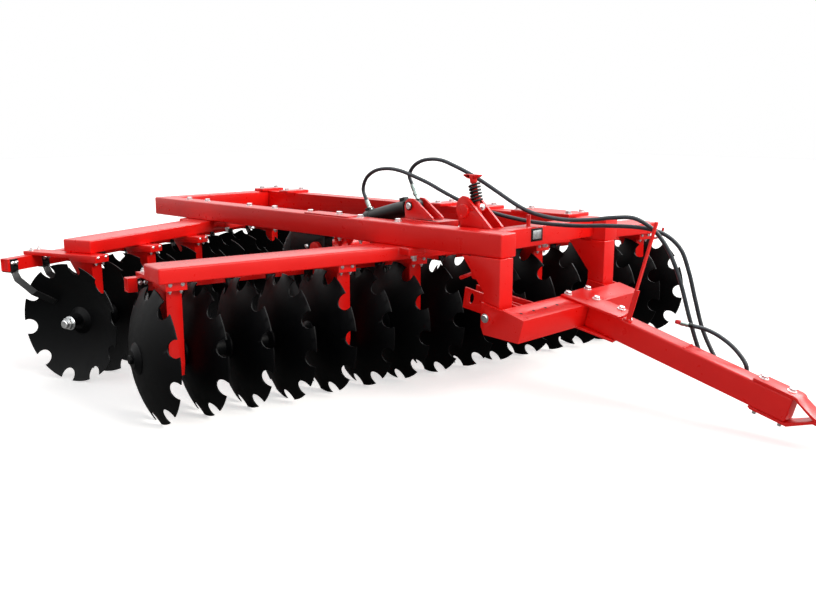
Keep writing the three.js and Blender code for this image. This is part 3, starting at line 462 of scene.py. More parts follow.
def pathLength(path):
    return sum((b - a).length for a, b in zip(path, path[1:]))


# which of a path's points, of those at least so high, is nearest to a place along Y
def pointNear(path, y, height=0):
    target = spot(0, y, height)
    return min((i for i, point in enumerate(path) if point.z >= target.z), key=lambda i: abs(path[i].y - target.y))


# a layout that starts at a hose's end, its X axis along a direction
def layoutAlong(start, direction):
    return Matrix.Translation(start) @ direction.to_track_quat("X", "Z").to_matrix().to_4x4()


def makeHose(name, path):
    curve = bpy.data.curves.new(name, "CURVE")
    curve.dimensions = "3D"
    curve.twist_mode = "MINIMUM"
    curve.bevel_depth = hoses["diameter"] / 2
    curve.bevel_resolution = 3
    curve.use_fill_caps = True
    line = curve.splines.new("POLY")
    line.points.add(len(path) - 1)
    for point, place in zip(line.points, path):
        point.co = (*place, 1)
    hose = bpy.data.objects.new(name, curve)
    bpy.context.scene.collection.objects.link(hose)
    makeActive(hose)
    bpy.ops.object.convert(target="MESH")
    hose = bpy.context.active_object
    openEdit(hose)
    closeShell()
    smooth(hose, 40)
    return hose


# push-pull coupler: a crimped black ferrule, a knurled zinc sleeve and a red dust cap over its nose
coupler = {
    "ferrule": [[0.0005, 0], [0.0005, 0.0122], [0.003, 0.013], [0.006, 0.0121], [0.009, 0.013], [0.012, 0.0121],
                [0.015, 0.013], [0.018, 0.0121], [0.022, 0.011], [0.022, 0]],
    "sleeve": [[0.022, 0], [0.022, 0.0115], [0.024, 0.0128], [0.034, 0.0128], [0.0355, 0.0112], [0.039, 0.0112],
               [0.0405, 0.0128], [0.0585, 0.0128], [0.061, 0.0118], [0.061, 0]],
    "cap": [[0.0612, 0], [0.0612, 0.0108], [0.064, 0.0109], [0.079, 0.0104], [0.083, 0.0092], [0.0855, 0.006],
            [0.086, 0]],
}


def makeCoupler(name, end, direction):
    at = layoutAlong(end, direction)
    ferrule, sleeve, cap = [turnedPiece(f"{name}_{part}", coupler[part], 28, at, degrees)
                            for part, degrees in (("ferrule", 20), ("sleeve", 20), ("cap", 40))]
    finishPiece(ferrule, "drawbar", "black_paint")
    finishPiece(sleeve, "drawbar", "zinc", [name], [dullZinc])
    finishPiece(cap, "drawbar", "red_paint", finishes=[capPlastic])
    return [ferrule, sleeve, cap]


hosePaths = [smoothRoute(route) for route in hoses["routes"]]
for number, fine in enumerate(hosePaths, 1):
    guideAt = pointNear(fine, hoses["guideY"])
    back, front = fine[:guideAt + 1], fine[guideAt:]
    rear = makeHose(f"hose_{number}_frame_run", back)
    finishPiece(rear, None, "hose_rubber", [f"hose_{number}_rear"])
    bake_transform(rear)
    fore = makeHose(f"hose_{number}_drawbar_run", front)
    finishPiece(fore, None, "hose_rubber", [f"hose_{number}_front"])
    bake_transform(fore)
    ends = makeCoupler(f"hose_{number}_coupler", fine[-1], (fine[-1] - fine[-2]).normalized())
    print(f"hose {number}: {pathLength(fine):.2f} m")


# gangs: where each starts and its angle, which way the discs' hollow sides look along X, where the scraper bar and
# the beam begin, and each section as its first disc and how many; turned is in degrees, for the first disc, the
# second and the others
gangs = {
    "front": {"start": (-1777, 178, 0), "angle": -11, "hollow": 1, "barAt": 0.225, "beamFront": -0.155,
              "sections": [(0, 6), (6, 6), (12, 4)], "turned": (18, 0, 11)},
    "rear": {"start": (-1731, 1153, 0), "angle": 20, "hollow": -1, "barAt": 0.345, "beamFront": -0.037,
             "sections": [(0, 4), (4, 6), (10, 6)], "turned": (-9, 0, 0)},
}
for gang in gangs.values():
    gang["layout"] = turnedLayout(*gang["start"], "Z", gang["angle"])

# welded and bolted steelwork: tubes with wide arrises, plates with narrow ones
steelwork = {
    "tubes": ["near_rail", "front_cross_beam", "rear_cross_beam", "front_gang_beam", "rear_gang_beam",
              "drawbar_tube"],
    "tubeArris": 0.009,
    "plates": ["far_rail", "near_post", "far_post", "near_rockshaft_bearing", "far_rockshaft_bearing",
               "cylinder_anchor", "levelling_bracket", "levelling_trunnion", "levelling_rod", "drawbar_yoke",
               "drawbar_top_gusset", "drawbar_bottom_gusset", "hitch_upper_plate", "hitch_lower_plate",
               "hose_holder", "rockshaft"]
              + [f"{gangName}_hanger_{i}" for gangName in gangs for i in range(1, 7)],
    "plateArris": 0.0025,
}
steel = {node: dressNode(node, steelwork["tubeArris"], 3) for node in steelwork["tubes"]}
steel.update({node: dressNode(node, steelwork["plateArris"]) for node in steelwork["plates"]})

# each hanger's front end is cut back under its beam, and the rear beam's near end is shortened
hangerFront = {"before": -0.150, "above": 0.640, "slide": (0, 0.045, 0)}
beamEnd = {"before": 0.120, "slide": (0.066, 0, 0)}
for gangName, gang in gangs.items():
    for i in range(1, 7):
        slidePoints(steel[f"{gangName}_hanger_{i}"], gang["layout"],
                    lambda p: p.y < hangerFront["before"] and p.z > hangerFront["above"], hangerFront["slide"])
slidePoints(steel["rear_gang_beam"], gangs["rear"]["layout"], lambda p: p.x < beamEnd["before"], beamEnd["slide"])

# the drawbar's gusset plates are drawn in at the waist
gussetWaist = {"right": 0.170, "from": -0.200, "to": -0.180, "slide": (-0.050, -0.022, 0)}
for side in ("top", "bottom"):
    slidePoints(steel[f"drawbar_{side}_gusset"], drawbarLayout,
                lambda p: p.x > gussetWaist["right"] and gussetWaist["from"] < p.y < gussetWaist["to"],
                gussetWaist["slide"])

# the levelling bracket's ears are narrowed behind the trunnion, which is red like them
earBack = {"behind": -0.486, "low": 0.855, "high": 0.915, "slide": (0, -0.042, 0)}
slidePoints(steel["levelling_bracket"], squareLayout,
            lambda p: p.y > earBack["behind"] and earBack["low"] < p.z < earBack["high"], earBack["slide"])
paint(steel["levelling_trunnion"], redEnamel)

# the rod's cap is lowered a little, and the same points are turned level though the rod leans
rodCap = {"above": 0.157, "outside": 0.0192, "slide": (0, 0, -0.006), "turn": -14, "middle": (0, 0, 0.166)}
slidePoints(steel["levelling_rod"], levelLayout,
            lambda p: p.z > rodCap["above"] and abs(p.y) > rodCap["outside"], rodCap["slide"])
bpy.ops.object.mode_set(mode="EDIT")
bpy.ops.transform.rotate(value=math.radians(rodCap["turn"]), orient_axis="X",
                         center_override=levelLayout @ Vector(rodCap["middle"]))
closeEdit()
print("steelwork dressed:", len(steel))


# disc gangs
discSizes = {"radius": 0.330, "dish": 0.090, "thick": 0.006, "notches": 10, "notchRadius": 0.042, "inset": 0.017,
             "spacing": 0.230, "edge": 0.0016}
axleSizes = {"height": 0.330, "radius": 0.022, "spool": 0.045, "flange": 0.066, "bell": 0.078, "chamfer": 0.003,
             "hollowEnd": 0.130, "crownEnd": 0.040, "bearingGap": 0.050, "hangerFromRim": 0.075}
nutSizes = {"radius": 0.034, "width": 0.020, "fromEnd": 0.030, "washer": 0.038, "washerThick": 0.0058}


# one dished disc about the X axis, its rim in the plane x = 0 and its hollow towards +X
def makeDisc():
    radius, dish = discSizes["radius"], discSizes["dish"]
    ball = (radius ** 2 + dish ** 2) / (2 * dish)
    disc = addPrimitive("uv_sphere", "notched_disc", segments=120, ring_count=58, radius=ball,
                        location=(ball - dish, 0, 0), rotation=(0, -math.pi / 2, 0))
    openEdit(disc)
    selectAll()
    bpy.ops.mesh.bisect(plane_co=(0, 0, 0), plane_no=(1, 0, 0), clear_outer=True)
    selectAll()
    bpy.ops.mesh.extrude_region_move(TRANSFORM_OT_translate={"value": (-discSizes["thick"], 0, 0)})
    selectAll()
    bpy.ops.mesh.normals_make_consistent(inside=False)
    closeEdit()
    notch = addPrimitive("cylinder", "notch", vertices=40, radius=discSizes["notchRadius"], depth=0.3,
                         rotation=(0, math.pi / 2, 0))
    reach = radius - discSizes["inset"]
    turns = [2 * math.pi * i / discSizes["notches"] for i in range(discSizes["notches"])]
    cutter = joinAll([copyTo(notch, Matrix.Translation((0, reach * math.cos(turn), reach * math.sin(turn))))
                      for turn in turns], "notches")
    applyModifier(disc, "BOOLEAN", operation="DIFFERENCE", object=cutter, solver="EXACT")
    discard(notch, cutter)
    paint(disc, discEnamel, groundEdge)
    roundArrises(disc, discSizes["edge"], 1, 50, material=1)
    smooth(disc, 30)
    return disc


# where a disc's hub and a hanger's bearing stand along the axle, from the near disc's rim
def hubAt(gang, i):
    return i * discSizes["spacing"] - gang["hollow"] * discSizes["dish"]


def hangerAt(gang, i):
    if gang["hollow"] > 0:
        return i * discSizes["spacing"] + axleSizes["hangerFromRim"]
    return (i + 1) * discSizes["spacing"] - axleSizes["hangerFromRim"]


# the discs next to a gang's hangers: two hold each section, beside its first disc and its last but one
def hangerDiscs(gang):
    return [first + extra for first, count in gang["sections"] for extra in (0, count - 2)]


# the spools, end bells and shaft of one section as one turned profile
def axleProfile(gang, first, last):
    bare, spool, flange, bell = (axleSizes[key] for key in ("radius", "spool", "flange", "bell"))
    chamfer, gap = axleSizes["chamfer"], axleSizes["bearingGap"]
    # outwards from the last hub, as [from the hub, radius]
    endBell = [[0.026, bare], [0.026, spool], [0.022, spool + 0.004], [0.010, bell - 0.006], [0.004, bell],
               [-0.004, bell], [-0.010, bell - 0.008], [-0.016, spool]]
    before, after = axleSizes["crownEnd"], axleSizes["hollowEnd"]
    if gang["hollow"] < 0:
        before, after = after, before
    start, end = hubAt(gang, first), hubAt(gang, last)
    profile = [[start - before, 0], [start - before, bare - chamfer], [start - before + chamfer, bare]]
    profile += [[start - out, radius] for out, radius in endBell]
    for i in range(first, last + 1):
        hub = hubAt(gang, i)
        if first < i < last:
            profile += [[hub - 0.030, spool], [hub - 0.012, flange], [hub + 0.012, flange], [hub + 0.030, spool]]
        if i < last and i in hangerDiscs(gang):
            middle = hangerAt(gang, i)
            if middle - gap > hub + 0.030:
                profile += [[middle - gap, spool], [middle - gap, bare]]
            else:
                profile += [[hub + 0.030, bare]]
            profile += [[middle + gap, bare], [middle + gap, spool]]
    profile += [[end + out, radius] for out, radius in reversed(endBell)]
    return profile + [[end + after - chamfer, bare], [end + after, bare - chamfer], [end + after, 0]]


# a hexagon nut about the X axis over a thick washer
def makeAxleNut(name, at, toward, body, layout):
    width, bore, washer = nutSizes["width"], axleSizes["radius"] + 0.0005, nutSizes["washer"]
    inner = at + toward * (width / 2 + 0.0002)
    outer = at + toward * (width / 2 + 0.0002 + nutSizes["washerThick"])
    nut = addPrimitive("cylinder", name, vertices=6, radius=nutSizes["radius"], depth=width,
                       location=(at, 0, 0), rotation=(0, math.pi / 2, 0))
    openEdit(nut)
    pickFaces(nut, lambda centre, normal: abs(normal.x) > 0.9)
    bpy.ops.mesh.inset(thickness=0.005, use_individual=True)
    closeEdit()
    ring = spinProfile(name + "_washer", [
        [inner, bore], [inner, washer], [outer, washer + 0.002], [outer, bore], [inner, bore]], 36)
    nut = joinAll([nut, ring], name)
    roundArrises(nut, 0.0012)
    nut.data.transform(layout)
    smooth(nut)
    return finishPiece(nut, body, "zinc")


# the axle's threaded end, a shade thicker than the shaft, with its chamfer
def makeAxleEnd(name, at, out, body, layout):
    bare = axleSizes["radius"]
    thread = turnedPiece(name, [
        [at - out * 0.019, 0], [at - out * 0.019, bare + 0.0006], [at - out * 0.003, bare + 0.0006],
        [at + out * 0.0003, bare - 0.0026], [at + out * 0.0003, 0]], 36, layout)
    return finishPiece(thread, body, "zinc")


# the notches are staggered from disc to disc by twentieths of their spacing, and the gang's own turns are added
def discTurn(gang, i):
    spacing = 2 * math.pi / discSizes["notches"]
    turn = (i * 13) % 20 * spacing / 20 + math.radians(gang["turned"][min(i, 2)])
    return turn if gang["hollow"] > 0 else math.pi - turn


discShape = makeDisc()
for gangName, gang in gangs.items():
    axleLayout = gang["layout"] @ Matrix.Translation((0, 0, axleSizes["height"]))
    out = gang["hollow"]
    facing = Matrix.Identity(4) if out > 0 else Matrix.Rotation(math.pi, 4, "Z")
    for k, (first, count) in enumerate(gang["sections"], 1):
        node = f"{gangName}_disc_section_{k}"
        body = frame["nodes"][node]["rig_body"]
        last = first + count - 1
        spools = spinProfile(node + "_spools", axleProfile(gang, first, last), 40)
        paint(spools, discEnamel)
        smooth(spools, 25)
        spools.data.transform(axleLayout)
        discs = [copyTo(discShape, axleLayout @ Matrix.Translation((i * discSizes["spacing"], 0, 0))
                        @ facing @ Matrix.Rotation(discTurn(gang, i), 4, "X")) for i in range(first, last + 1)]
        section = joinAll(discs + [spools], node + "_discs")
        finishPiece(section, body, "black_paint", [node], [])
        hollowEnd = hubAt(gang, last if out > 0 else first) + out * axleSizes["hollowEnd"]
        makeAxleNut(node + "_nut", hollowEnd - out * nutSizes["fromEnd"], -out, body, axleLayout)
        makeAxleEnd(node + "_axle_end", hollowEnd, out, body, axleLayout)
    print(gangName, "gang dressed")
discard(discShape)

# scrapers: the bar itself is red, its clamps and arms are black
scraperSizes = {"depth": 0.055, "top": 0.6744, "bottom": 0.6044, "proud": 0.0015}
for gangName, gang in gangs.items():
    bar = dressNode(f"{gangName}_scraper_bar", 0.0018, 1, [redEnamel, blackEnamel])
    toGang = gang["layout"].inverted()
    proud = scraperSizes["proud"]
    front, back = gang["barAt"] - proud, gang["barAt"] + scraperSizes["depth"] + proud
    low, high = scraperSizes["bottom"] - proud, scraperSizes["top"] + proud
    corners = [toGang @ vertex.co for vertex in bar.data.vertices]
    for face in bar.data.polygons:
        points = [corners[i] for i in face.vertices]
        face.material_index = 0 if all(front <= p.y <= back and low <= p.z <= high for p in points) else 1
print("scrapers painted")


# lift cylinder
cylinder = {"from": 0.060, "end": 0.405, "radius": 0.047, "rod": 0.022, "length": 0.5429,
            "clevis": (0.024, 0.034, 0.070), "pinHole": 0.018, "ports": (0.083, 0.371), "port": 0.019,
            "portRoot": 0.030, "portTop": 0.062}


# a crimped hose end: a hexagon swivel nut, a neck and a ribbed sleeve, from the cylinder up to the hose
def makeFerrule(name, end, direction):
    profile = [[-0.090, 0], [-0.090, 0.0105], [-0.064, 0.0105], [-0.064, 0.0150], [-0.046, 0.0150],
               [-0.044, 0.0095], [-0.040, 0.0095], [-0.038, 0.0120]]
    for k in range(5):
        rib = -0.037 + k * 0.0068
        profile += [[rib, 0.0130], [rib + 0.0040, 0.0130], [rib + 0.0050, 0.0114], [rib + 0.0060, 0.0114]]
    profile += [[-0.002, 0.0125], [-0.0005, 0.0112], [-0.0005, 0]]
    ferrule = turnedPiece(name, profile, 24, layoutAlong(end, direction), 20)
    return finishPiece(ferrule, "barrel", "zinc", finishes=[dullZinc])


# the barrel: its tube, the lug with the front pin's eye, and the port blocks that the hose ends screw into
def dressBarrel(alongRam):
    start, end, radius, rod = (cylinder[key] for key in ("from", "end", "radius", "rod"))
    tube = spinProfile("cylinder_tube", [
        [start, 0], [start, radius - 0.004], [start + 0.004, radius], [end - 0.052, radius],
        [end - 0.050, radius + 0.003], [end - 0.014, radius + 0.003], [end - 0.012, radius - 0.001],
        [end - 0.003, radius - 0.001], [end, radius - 0.004], [end, rod + 0.0008], [0.092, rod + 0.0008],
        [0.092, 0]], 56)
    tube.data.transform(alongRam)
    half, height, front = cylinder["clevis"]
    lug = addPrimitive("cube", "cylinder_lug", size=1, location=(0, front / 2, 0),
                       scale=(2 * half, front, 2 * height))
    eye = addPrimitive("cylinder", "cylinder_eye", vertices=48, radius=height, depth=2 * half,
                       rotation=(0, math.pi / 2, 0))
    applyModifier(lug, "BOOLEAN", operation="UNION", object=eye, solver="EXACT")
    hole = addPrimitive("cylinder", "pin_hole", vertices=32, radius=cylinder["pinHole"], depth=0.2,
                        rotation=(0, math.pi / 2, 0))
    applyModifier(lug, "BOOLEAN", operation="DIFFERENCE", object=hole, solver="EXACT")
    discard(eye, hole)
    roundArrises(lug, 0.002)
    lug.data.transform(ramLayout)
    port = cylinder["port"]
    blocks = [roundedBox("port_block", (-port, along - port, cylinder["portRoot"]),
                         (port, along + port, cylinder["portTop"])) for along in cylinder["ports"]]
    for block in blocks:
        block.data.transform(ramLayout)
    barrel = joinAll([tube, lug] + blocks, "cylinder_barrel_dressed")
    smooth(barrel, 30)
    finishPiece(barrel, "barrel", "black_paint", ["cylinder_barrel"])


# the chromed rod and the eye at its end
def dressRod(alongRam):
    rod, length, half = cylinder["rod"], cylinder["length"], cylinder["clevis"][0]
    stem = turnedPiece("cylinder_stem", [[0.100, 0], [0.100, rod], [length - 0.020, rod], [length - 0.020, 0]],
                       40, alongRam)
    finishPiece(stem, "ram", "zinc", ["cylinder_rod"], [hardChrome])
    eye = spinProfile("rod_eye", [[-half, 0], [-half, 0.030], [0.002 - half, 0.032], [half - 0.002, 0.032],
                                  [half, 0.030], [half, 0.0162], [0.0305, 0.0162], [0.0305, 0]], 40)
    mirror = copyTo(eye, Matrix.Rotation(math.pi, 4, "Z"))
    neck = spinProfile("rod_neck", [[-0.062, 0], [-0.062, 0.027], [-0.058, 0.029], [-0.024, 0.029], [-0.020, 0]], 32)
    neck.data.transform(Matrix.Rotation(math.pi / 2, 4, "Z"))
    head = joinAll([eye, mirror, neck], "cylinder_rod_eye")
    head.data.transform(ramLayout @ Matrix.Translation((0, length, 0)))
    smooth(head)
    finishPiece(head, "ram", "zinc")


alongRam = ramLayout @ Matrix.Rotation(math.pi / 2, 4, "Z")
dressBarrel(alongRam)
dressRod(alongRam)
for number, fine in enumerate(hosePaths, 1):
    makeFerrule(f"hose_{number}_port_fitting", fine[0], (fine[1] - fine[0]).normalized())
print("cylinder dressed")

# levelling spring: a coil of black wire, one rigid piece that moves with the trunnion
spring = {"low": 0.0206, "high": 0.1314, "radius": 0.0272, "wire": 0.0056, "turns": 6, "stepsPerTurn": 24}
coil = addPrimitive("circle", "levelling_coil", vertices=12, radius=spring["wire"], fill_type="NGON",
                    location=(spring["radius"], 0, spring["low"] + spring["wire"]), rotation=(math.pi / 2, 0, 0))
coilSteps = spring["stepsPerTurn"] * spring["turns"]
applyModifier(coil, "SCREW", angle=2 * math.pi * spring["turns"], axis="Z", use_merge_vertices=True,
              screw_offset=spring["high"] - spring["low"] - 2 * spring["wire"], steps=coilSteps,
              render_steps=coilSteps)
openEdit(coil)
closeShell()
coil.data.transform(levelLayout)
smooth(coil, 50)
finishPiece(coil, "trunnion", "black_paint", ["levelling_spring"])
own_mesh(coil)
print("spring wound")


# transport wheels
wheelSizes = {"arm": 0.500, "side": 0.150, "radius": 0.330, "half": 0.090, "rim": 0.200, "bead": 0.0675,
              "bore": 0.026}
treadSizes = {"lugs": 40, "grooveDepth": 0.009, "tread": 0.063, "grooveFrom": 0.020, "grooveReach": 0.030}
studSizes = {"count": 6, "circle": 0.074, "nut": 0.0125, "nutThick": 0.014, "radius": 0.0065, "length": 0.026}


def makeTyre():
    radius, half, rim, bead = (wheelSizes[key] for key in ("radius", "half", "rim", "bead"))
    tread, depth, lugs = treadSizes["tread"], treadSizes["grooveDepth"], treadSizes["lugs"]
    side = [[bead, rim + 0.001], [bead + 0.010, rim + 0.012], [half - 0.003, rim + 0.036], [half, rim + 0.052],
            [half - 0.002, rim + 0.075], [half - 0.007, radius - 0.032], [half - 0.012, radius - 0.022],
            [tread + 0.006, radius - 0.006], [tread, radius - 0.001], [tread - 0.022, radius],
            [0.014, radius], [0.012, radius - depth], [0.004, radius - depth], [0.002, radius]]
    profile = [[-x, r] for x, r in side] + [[x, r] for x, r in reversed(side)] + [[-bead, rim + 0.001]]
    tyre = drawProfile("tyre", profile)
    # one lug's share of the turn, then grooves pressed into its shoulders, then the rest of the turn
    share = 2 * math.pi / lugs
    bpy.ops.mesh.spin(steps=3, angle=share, center=(0, 0, 0), axis=(1, 0, 0))
    bpy.ops.mesh.select_mode(type="FACE")

    def isGroove(middle, normal):
        inShare = abs(abs(math.atan2(middle.y, middle.z)) - share / 2) < share / 6
        outside = math.hypot(middle.y, middle.z) > radius - treadSizes["grooveReach"]
        return inShare and outside and abs(middle.x) > treadSizes["grooveFrom"]

    pickFaces(tyre, isGroove)
    bpy.ops.mesh.inset(thickness=0.0012)
    bpy.ops.transform.resize(value=(0.97, 1 - depth / radius, 1 - depth / radius), center_override=(0, 0, 0))
    selectAll()
    bpy.ops.mesh.spin(steps=lugs - 1, angle=2 * math.pi - share, dupli=True, center=(0, 0, 0), axis=(1, 0, 0))
    closeShell(0.0001)
    smooth(tyre, 28)
    return tyre


def makeRim():
    rim, bead, bore = (wheelSizes[key] for key in ("rim", "bead", "bore"))
    wall = rim - 0.012
    dish = spinProfile("wheel_rim", [
        [-bead, bore], [-bead, 0.055], [-bead + 0.004, 0.060], [-0.012, 0.060], [-0.012, 0.085], [-0.004, 0.120],
        [-0.006, wall - 0.012], [-0.016, wall], [-bead, wall], [-bead, rim], [bead, rim], [bead, wall],
        [0.020, wall], [0.004, wall - 0.012], [0.006, 0.120], [-0.001, 0.085], [0.004, 0.060], [0.036, 0.060],
        [0.040, 0.056], [0.040, bore], [-bead, bore]], 64)
    nut = addPrimitive("cylinder", "stud_nut", vertices=6, radius=studSizes["nut"], depth=studSizes["nutThick"],
                       location=(0.009, 0, 0), rotation=(0, math.pi / 2, 0))
    rod = addPrimitive("cylinder", "stud_rod", vertices=12, radius=studSizes["radius"], depth=studSizes["length"],
                       location=(0.010, 0, 0), rotation=(0, math.pi / 2, 0))
    stud = joinAll([nut, rod], "stud")
    circle, turns = studSizes["circle"], [2 * math.pi * i / studSizes["count"] for i in range(studSizes["count"])]
    wheel = joinAll([dish] + [copyTo(stud, Matrix.Translation((0, circle * math.cos(turn), circle * math.sin(turn))))
                              for turn in turns], "wheel_rim")
    discard(stud)
    smooth(wheel, 30)
    return wheel


tyreShape, rimShape = makeTyre(), makeRim()
for name, side in (("near", -1), ("far", 1)):
    at = wheelLayout @ Matrix.Translation((side * wheelSizes["side"], wheelSizes["arm"], 0))
    if side < 0:
        at = at @ Matrix.Rotation(math.pi, 4, "Z")
    body = f"{name}_wheel"
    finishPiece(copyTo(tyreShape, at, f"{name}_tyre_treaded"), body, "tyre", [f"{name}_tyre"])
    finishPiece(copyTo(rimShape, at, f"{name}_rim_pressed"), body, "black_paint", [f"{name}_wheel_rim"])
discard(tyreShape, rimShape)
print("wheels fitted")


# fasteners, modelled once and copied
boltSizes = {"head": 0.0150, "height": 0.0110, "washer": 0.0190, "washerThick": 0.0030, "shank": 0.0085,
             "out": 0.012}


# a hexagon or round end whose crown is raised inside a narrow margin
def makeCrown(name, vertices, radius, depth, middle, margin, rise):
    crown = addPrimitive("cylinder", name, vertices=vertices, radius=radius, depth=depth, location=(0, 0, middle))
    openEdit(crown)
    pickFaces(crown, lambda centre, normal: normal.z > 0.9)
    bpy.ops.mesh.inset(thickness=margin)
    bpy.ops.transform.translate(value=(0, 0, rise))
    closeEdit()
    return crown


# a washer, a hexagon with its crown chamfered and, on a nut, the end of the bolt standing out of it; +Z outwards
def makeFastener(name, isNut):
    thick, height, out = boltSizes["washerThick"], boltSizes["height"], boltSizes["out"]
    washer = addPrimitive("cylinder", name, vertices=18, radius=boltSizes["washer"], depth=thick,
                          location=(0, 0, thick / 2))
    parts = [washer, makeCrown(name, 6, boltSizes["head"], height, thick + height / 2, 0.0024, 0.0014)]
    if isNut:
        parts.append(makeCrown(name, 12, boltSizes["shank"], out, thick + height + out / 2, 0.0014, 0.0012))
    made = joinAll(parts, name)
    smooth(made, 25)
    return made


# copies of one fastener as one piece, each at a point of a layout, in millimetres, and standing out one way
def fasten(name, shape, places, body, layout=squareLayout, size=1.0, finish=zincPlate):
    copies = []
    for point, direction in places:
        turn = Vector(direction).to_track_quat("Z", "X").to_matrix().to_4x4()
        at = Matrix.Translation(Vector(point) / 1000) @ turn @ Matrix.Scale(size, 4)
        copies.append(copyTo(shape, layout @ at))
    return finishPiece(joinAll(copies, name), body, "zinc", finishes=[finish])


boltHead, boltNut = makeFastener("bolt_head", False), makeFastener("bolt_nut", True)
up, down, forward = (0, 0, 1), (0, 0, -1), (0, -1, 0)
rails = {"centre": 462.5, "top": 890, "bottom": 770}
wearPlate = {"left": -519, "right": -406, "front": 199, "back": 580, "bottom": 0.2, "top": 6}

# through the near rail, whose bolt in the wear plate stands on it
railBolts = {"top": (1882, 1664, 1192, 931, 587, 331, 154, -145), "bottom": (1192, 931, 331, 154), "topSize": 1.15}
seats = {y: wearPlate["top"] if wearPlate["front"] < y < wearPlate["back"] else 0 for y in railBolts["top"]}
fasten("near_rail_bolts", boltHead, [((-rails["centre"], y, rails["top"] + seat), up) for y, seat in seats.items()],
       "root", size=railBolts["topSize"])
fasten("near_rail_nuts", boltNut, [((-rails["centre"], y, rails["bottom"]), down) for y in railBolts["bottom"]],
       "root")

# through the clamp plates over the far rail, each as [from, to]: a long plate has a bolt at each end
clamps = {"places": [(-705, -297), (-90, 20), (260, 370), (1795, 1900), (2104, 2205)], "columns": (366, 500),
          "thick": 20, "fromEnd": 28, "long": 200}
clampBolts = []
for start, end in clamps["places"]:
    for x in clamps["columns"]:
        inset = clamps["fromEnd"]
        rows = (start + inset, end - inset) if end - start > clamps["long"] else ((start + end) / 2,)
        clampBolts += [((x, y, rails["top"] + clamps["thick"]), up) for y in rows]
fasten("far_rail_bolts", boltHead, clampBolts, "root", size=railBolts["topSize"])

earBolt = {"place": (-390, -536, 938), "size": 0.6}
fasten("near_boss_bolt", boltHead, [(earBolt["place"], (-1, 0, 0))], "root", size=earBolt["size"], finish=redEnamel)
shaftBolts = {"places": ((592, 690), (584, 636), (416, 636)), "fromCentre": 30, "size": 0.7}
fasten("rockshaft_bolts", boltHead, [
    ((side * rails["centre"] + face * shaftBolts["fromCentre"], y, z), (face, 0, 0))
    for side in (-1, 1) for face in (-1, 1) for y, z in shaftBolts["places"]], "root", size=shaftBolts["size"])

# on each gang, in millimetres in its layout: a pair beside each hanger's or scraper's middle
gangFasteners = {
    "flange_nuts": {"shape": boltHead, "way": forward, "pairOn": "hanger", "apart": 30, "from": "gang", "y": -120,
                    "z": 683, "size": 0.5},
    "flange_bolts": {"shape": boltNut, "way": down, "pairOn": "hanger", "apart": 27, "from": "gang", "y": -102,
                     "z": 654.7, "size": 0.62},
    "bar_nuts": {"shape": boltNut, "way": up, "pairOn": "hanger", "apart": 28, "from": "bar", "y": 27.5,
                 "z": 694.7, "size": 0.75},
    "clamp_bolts": {"shape": boltHead, "way": forward, "pairOn": "scraper", "apart": 13, "from": "bar", "y": -8,
                    "z": 650, "size": 0.62},
}
scrapersOnBar = {"count": 16, "fromRim": 32}
for gangName, gang in gangs.items():
    middles = {"hanger": [hangerAt(gang, i) * 1000 for i in hangerDiscs(gang)],
               "scraper": [i * discSizes["spacing"] * 1000 + gang["hollow"] * scrapersOnBar["fromRim"]
                           for i in range(scrapersOnBar["count"])]}
    start = {"gang": 0, "bar": gang["barAt"] * 1000}
    for kind, bolt in gangFasteners.items():
        fasten(f"{gangName}_{kind}", bolt["shape"], [
            ((middle + side * bolt["apart"], start[bolt["from"]] + bolt["y"], bolt["z"]), bolt["way"])
            for middle in middles[bolt["pairOn"]] for side in (-1, 1)], "root", gang["layout"], bolt["size"])

# under the lugs that hold each gang's beam to the rails, in front of the beam and behind it
lugNuts = {"z": 724.7, "size": 1.15, "beamHalf": 100, "fromBeam": 58}
for gangName, gang in gangs.items():
    turn, start = math.radians(gang["angle"]), gang["start"][0]
    middle = gang["beamFront"] * 1000 + lugNuts["beamHalf"]
    reach = lugNuts["beamHalf"] + lugNuts["fromBeam"]
    fasten(f"{gangName}_lug_nuts", boltNut, [
        (((x - start + middle * math.sin(turn)) / math.cos(turn), y, lugNuts["z"]), down)
        for x in (-rails["centre"], rails["centre"]) for y in (middle - reach, middle + reach)],
        "root", gang["layout"], lugNuts["size"])

# on the drawbar, in millimetres in its layout: through the gusset, the hitch plates and the hose holder; and the
# levelling trunnion's nut, in its own layout
linkFasteners = {
    "gusset_bolts": {"shape": boltHead, "way": up, "size": 1.1,
                     "at": ((-25, -91, 86.3), (163, -88, 86.3), (80, -200, 86.3), (98, -345, 86.3))},
    "hitch_bolts": {"shape": boltHead, "way": up, "size": 1.1, "at": ((50, -1150, 88.3), (50, -1284, 88.3))},
    "hitch_nuts": {"shape": boltNut, "way": down, "size": 1.1, "at": ((50, -1160, -60.3), (50, -1284, -60.3))},
    "trunnion_nut": {"shape": boltHead, "way": forward, "size": 0.9, "at": ((0, -24, 0),), "body": "trunnion",
                     "layout": levelLayout},
    "holder_bolt": {"shape": boltHead, "way": up, "size": 0.6, "at": ((22, -446, 84.3),)},
}
for name, bolt in linkFasteners.items():
    fasten(name, bolt["shape"], [(point, bolt["way"]) for point in bolt["at"]], bolt.get("body", "drawbar"),
           bolt.get("layout", drawbarLayout), bolt["size"])
discard(boltHead, boltNut)
print("fasteners set")


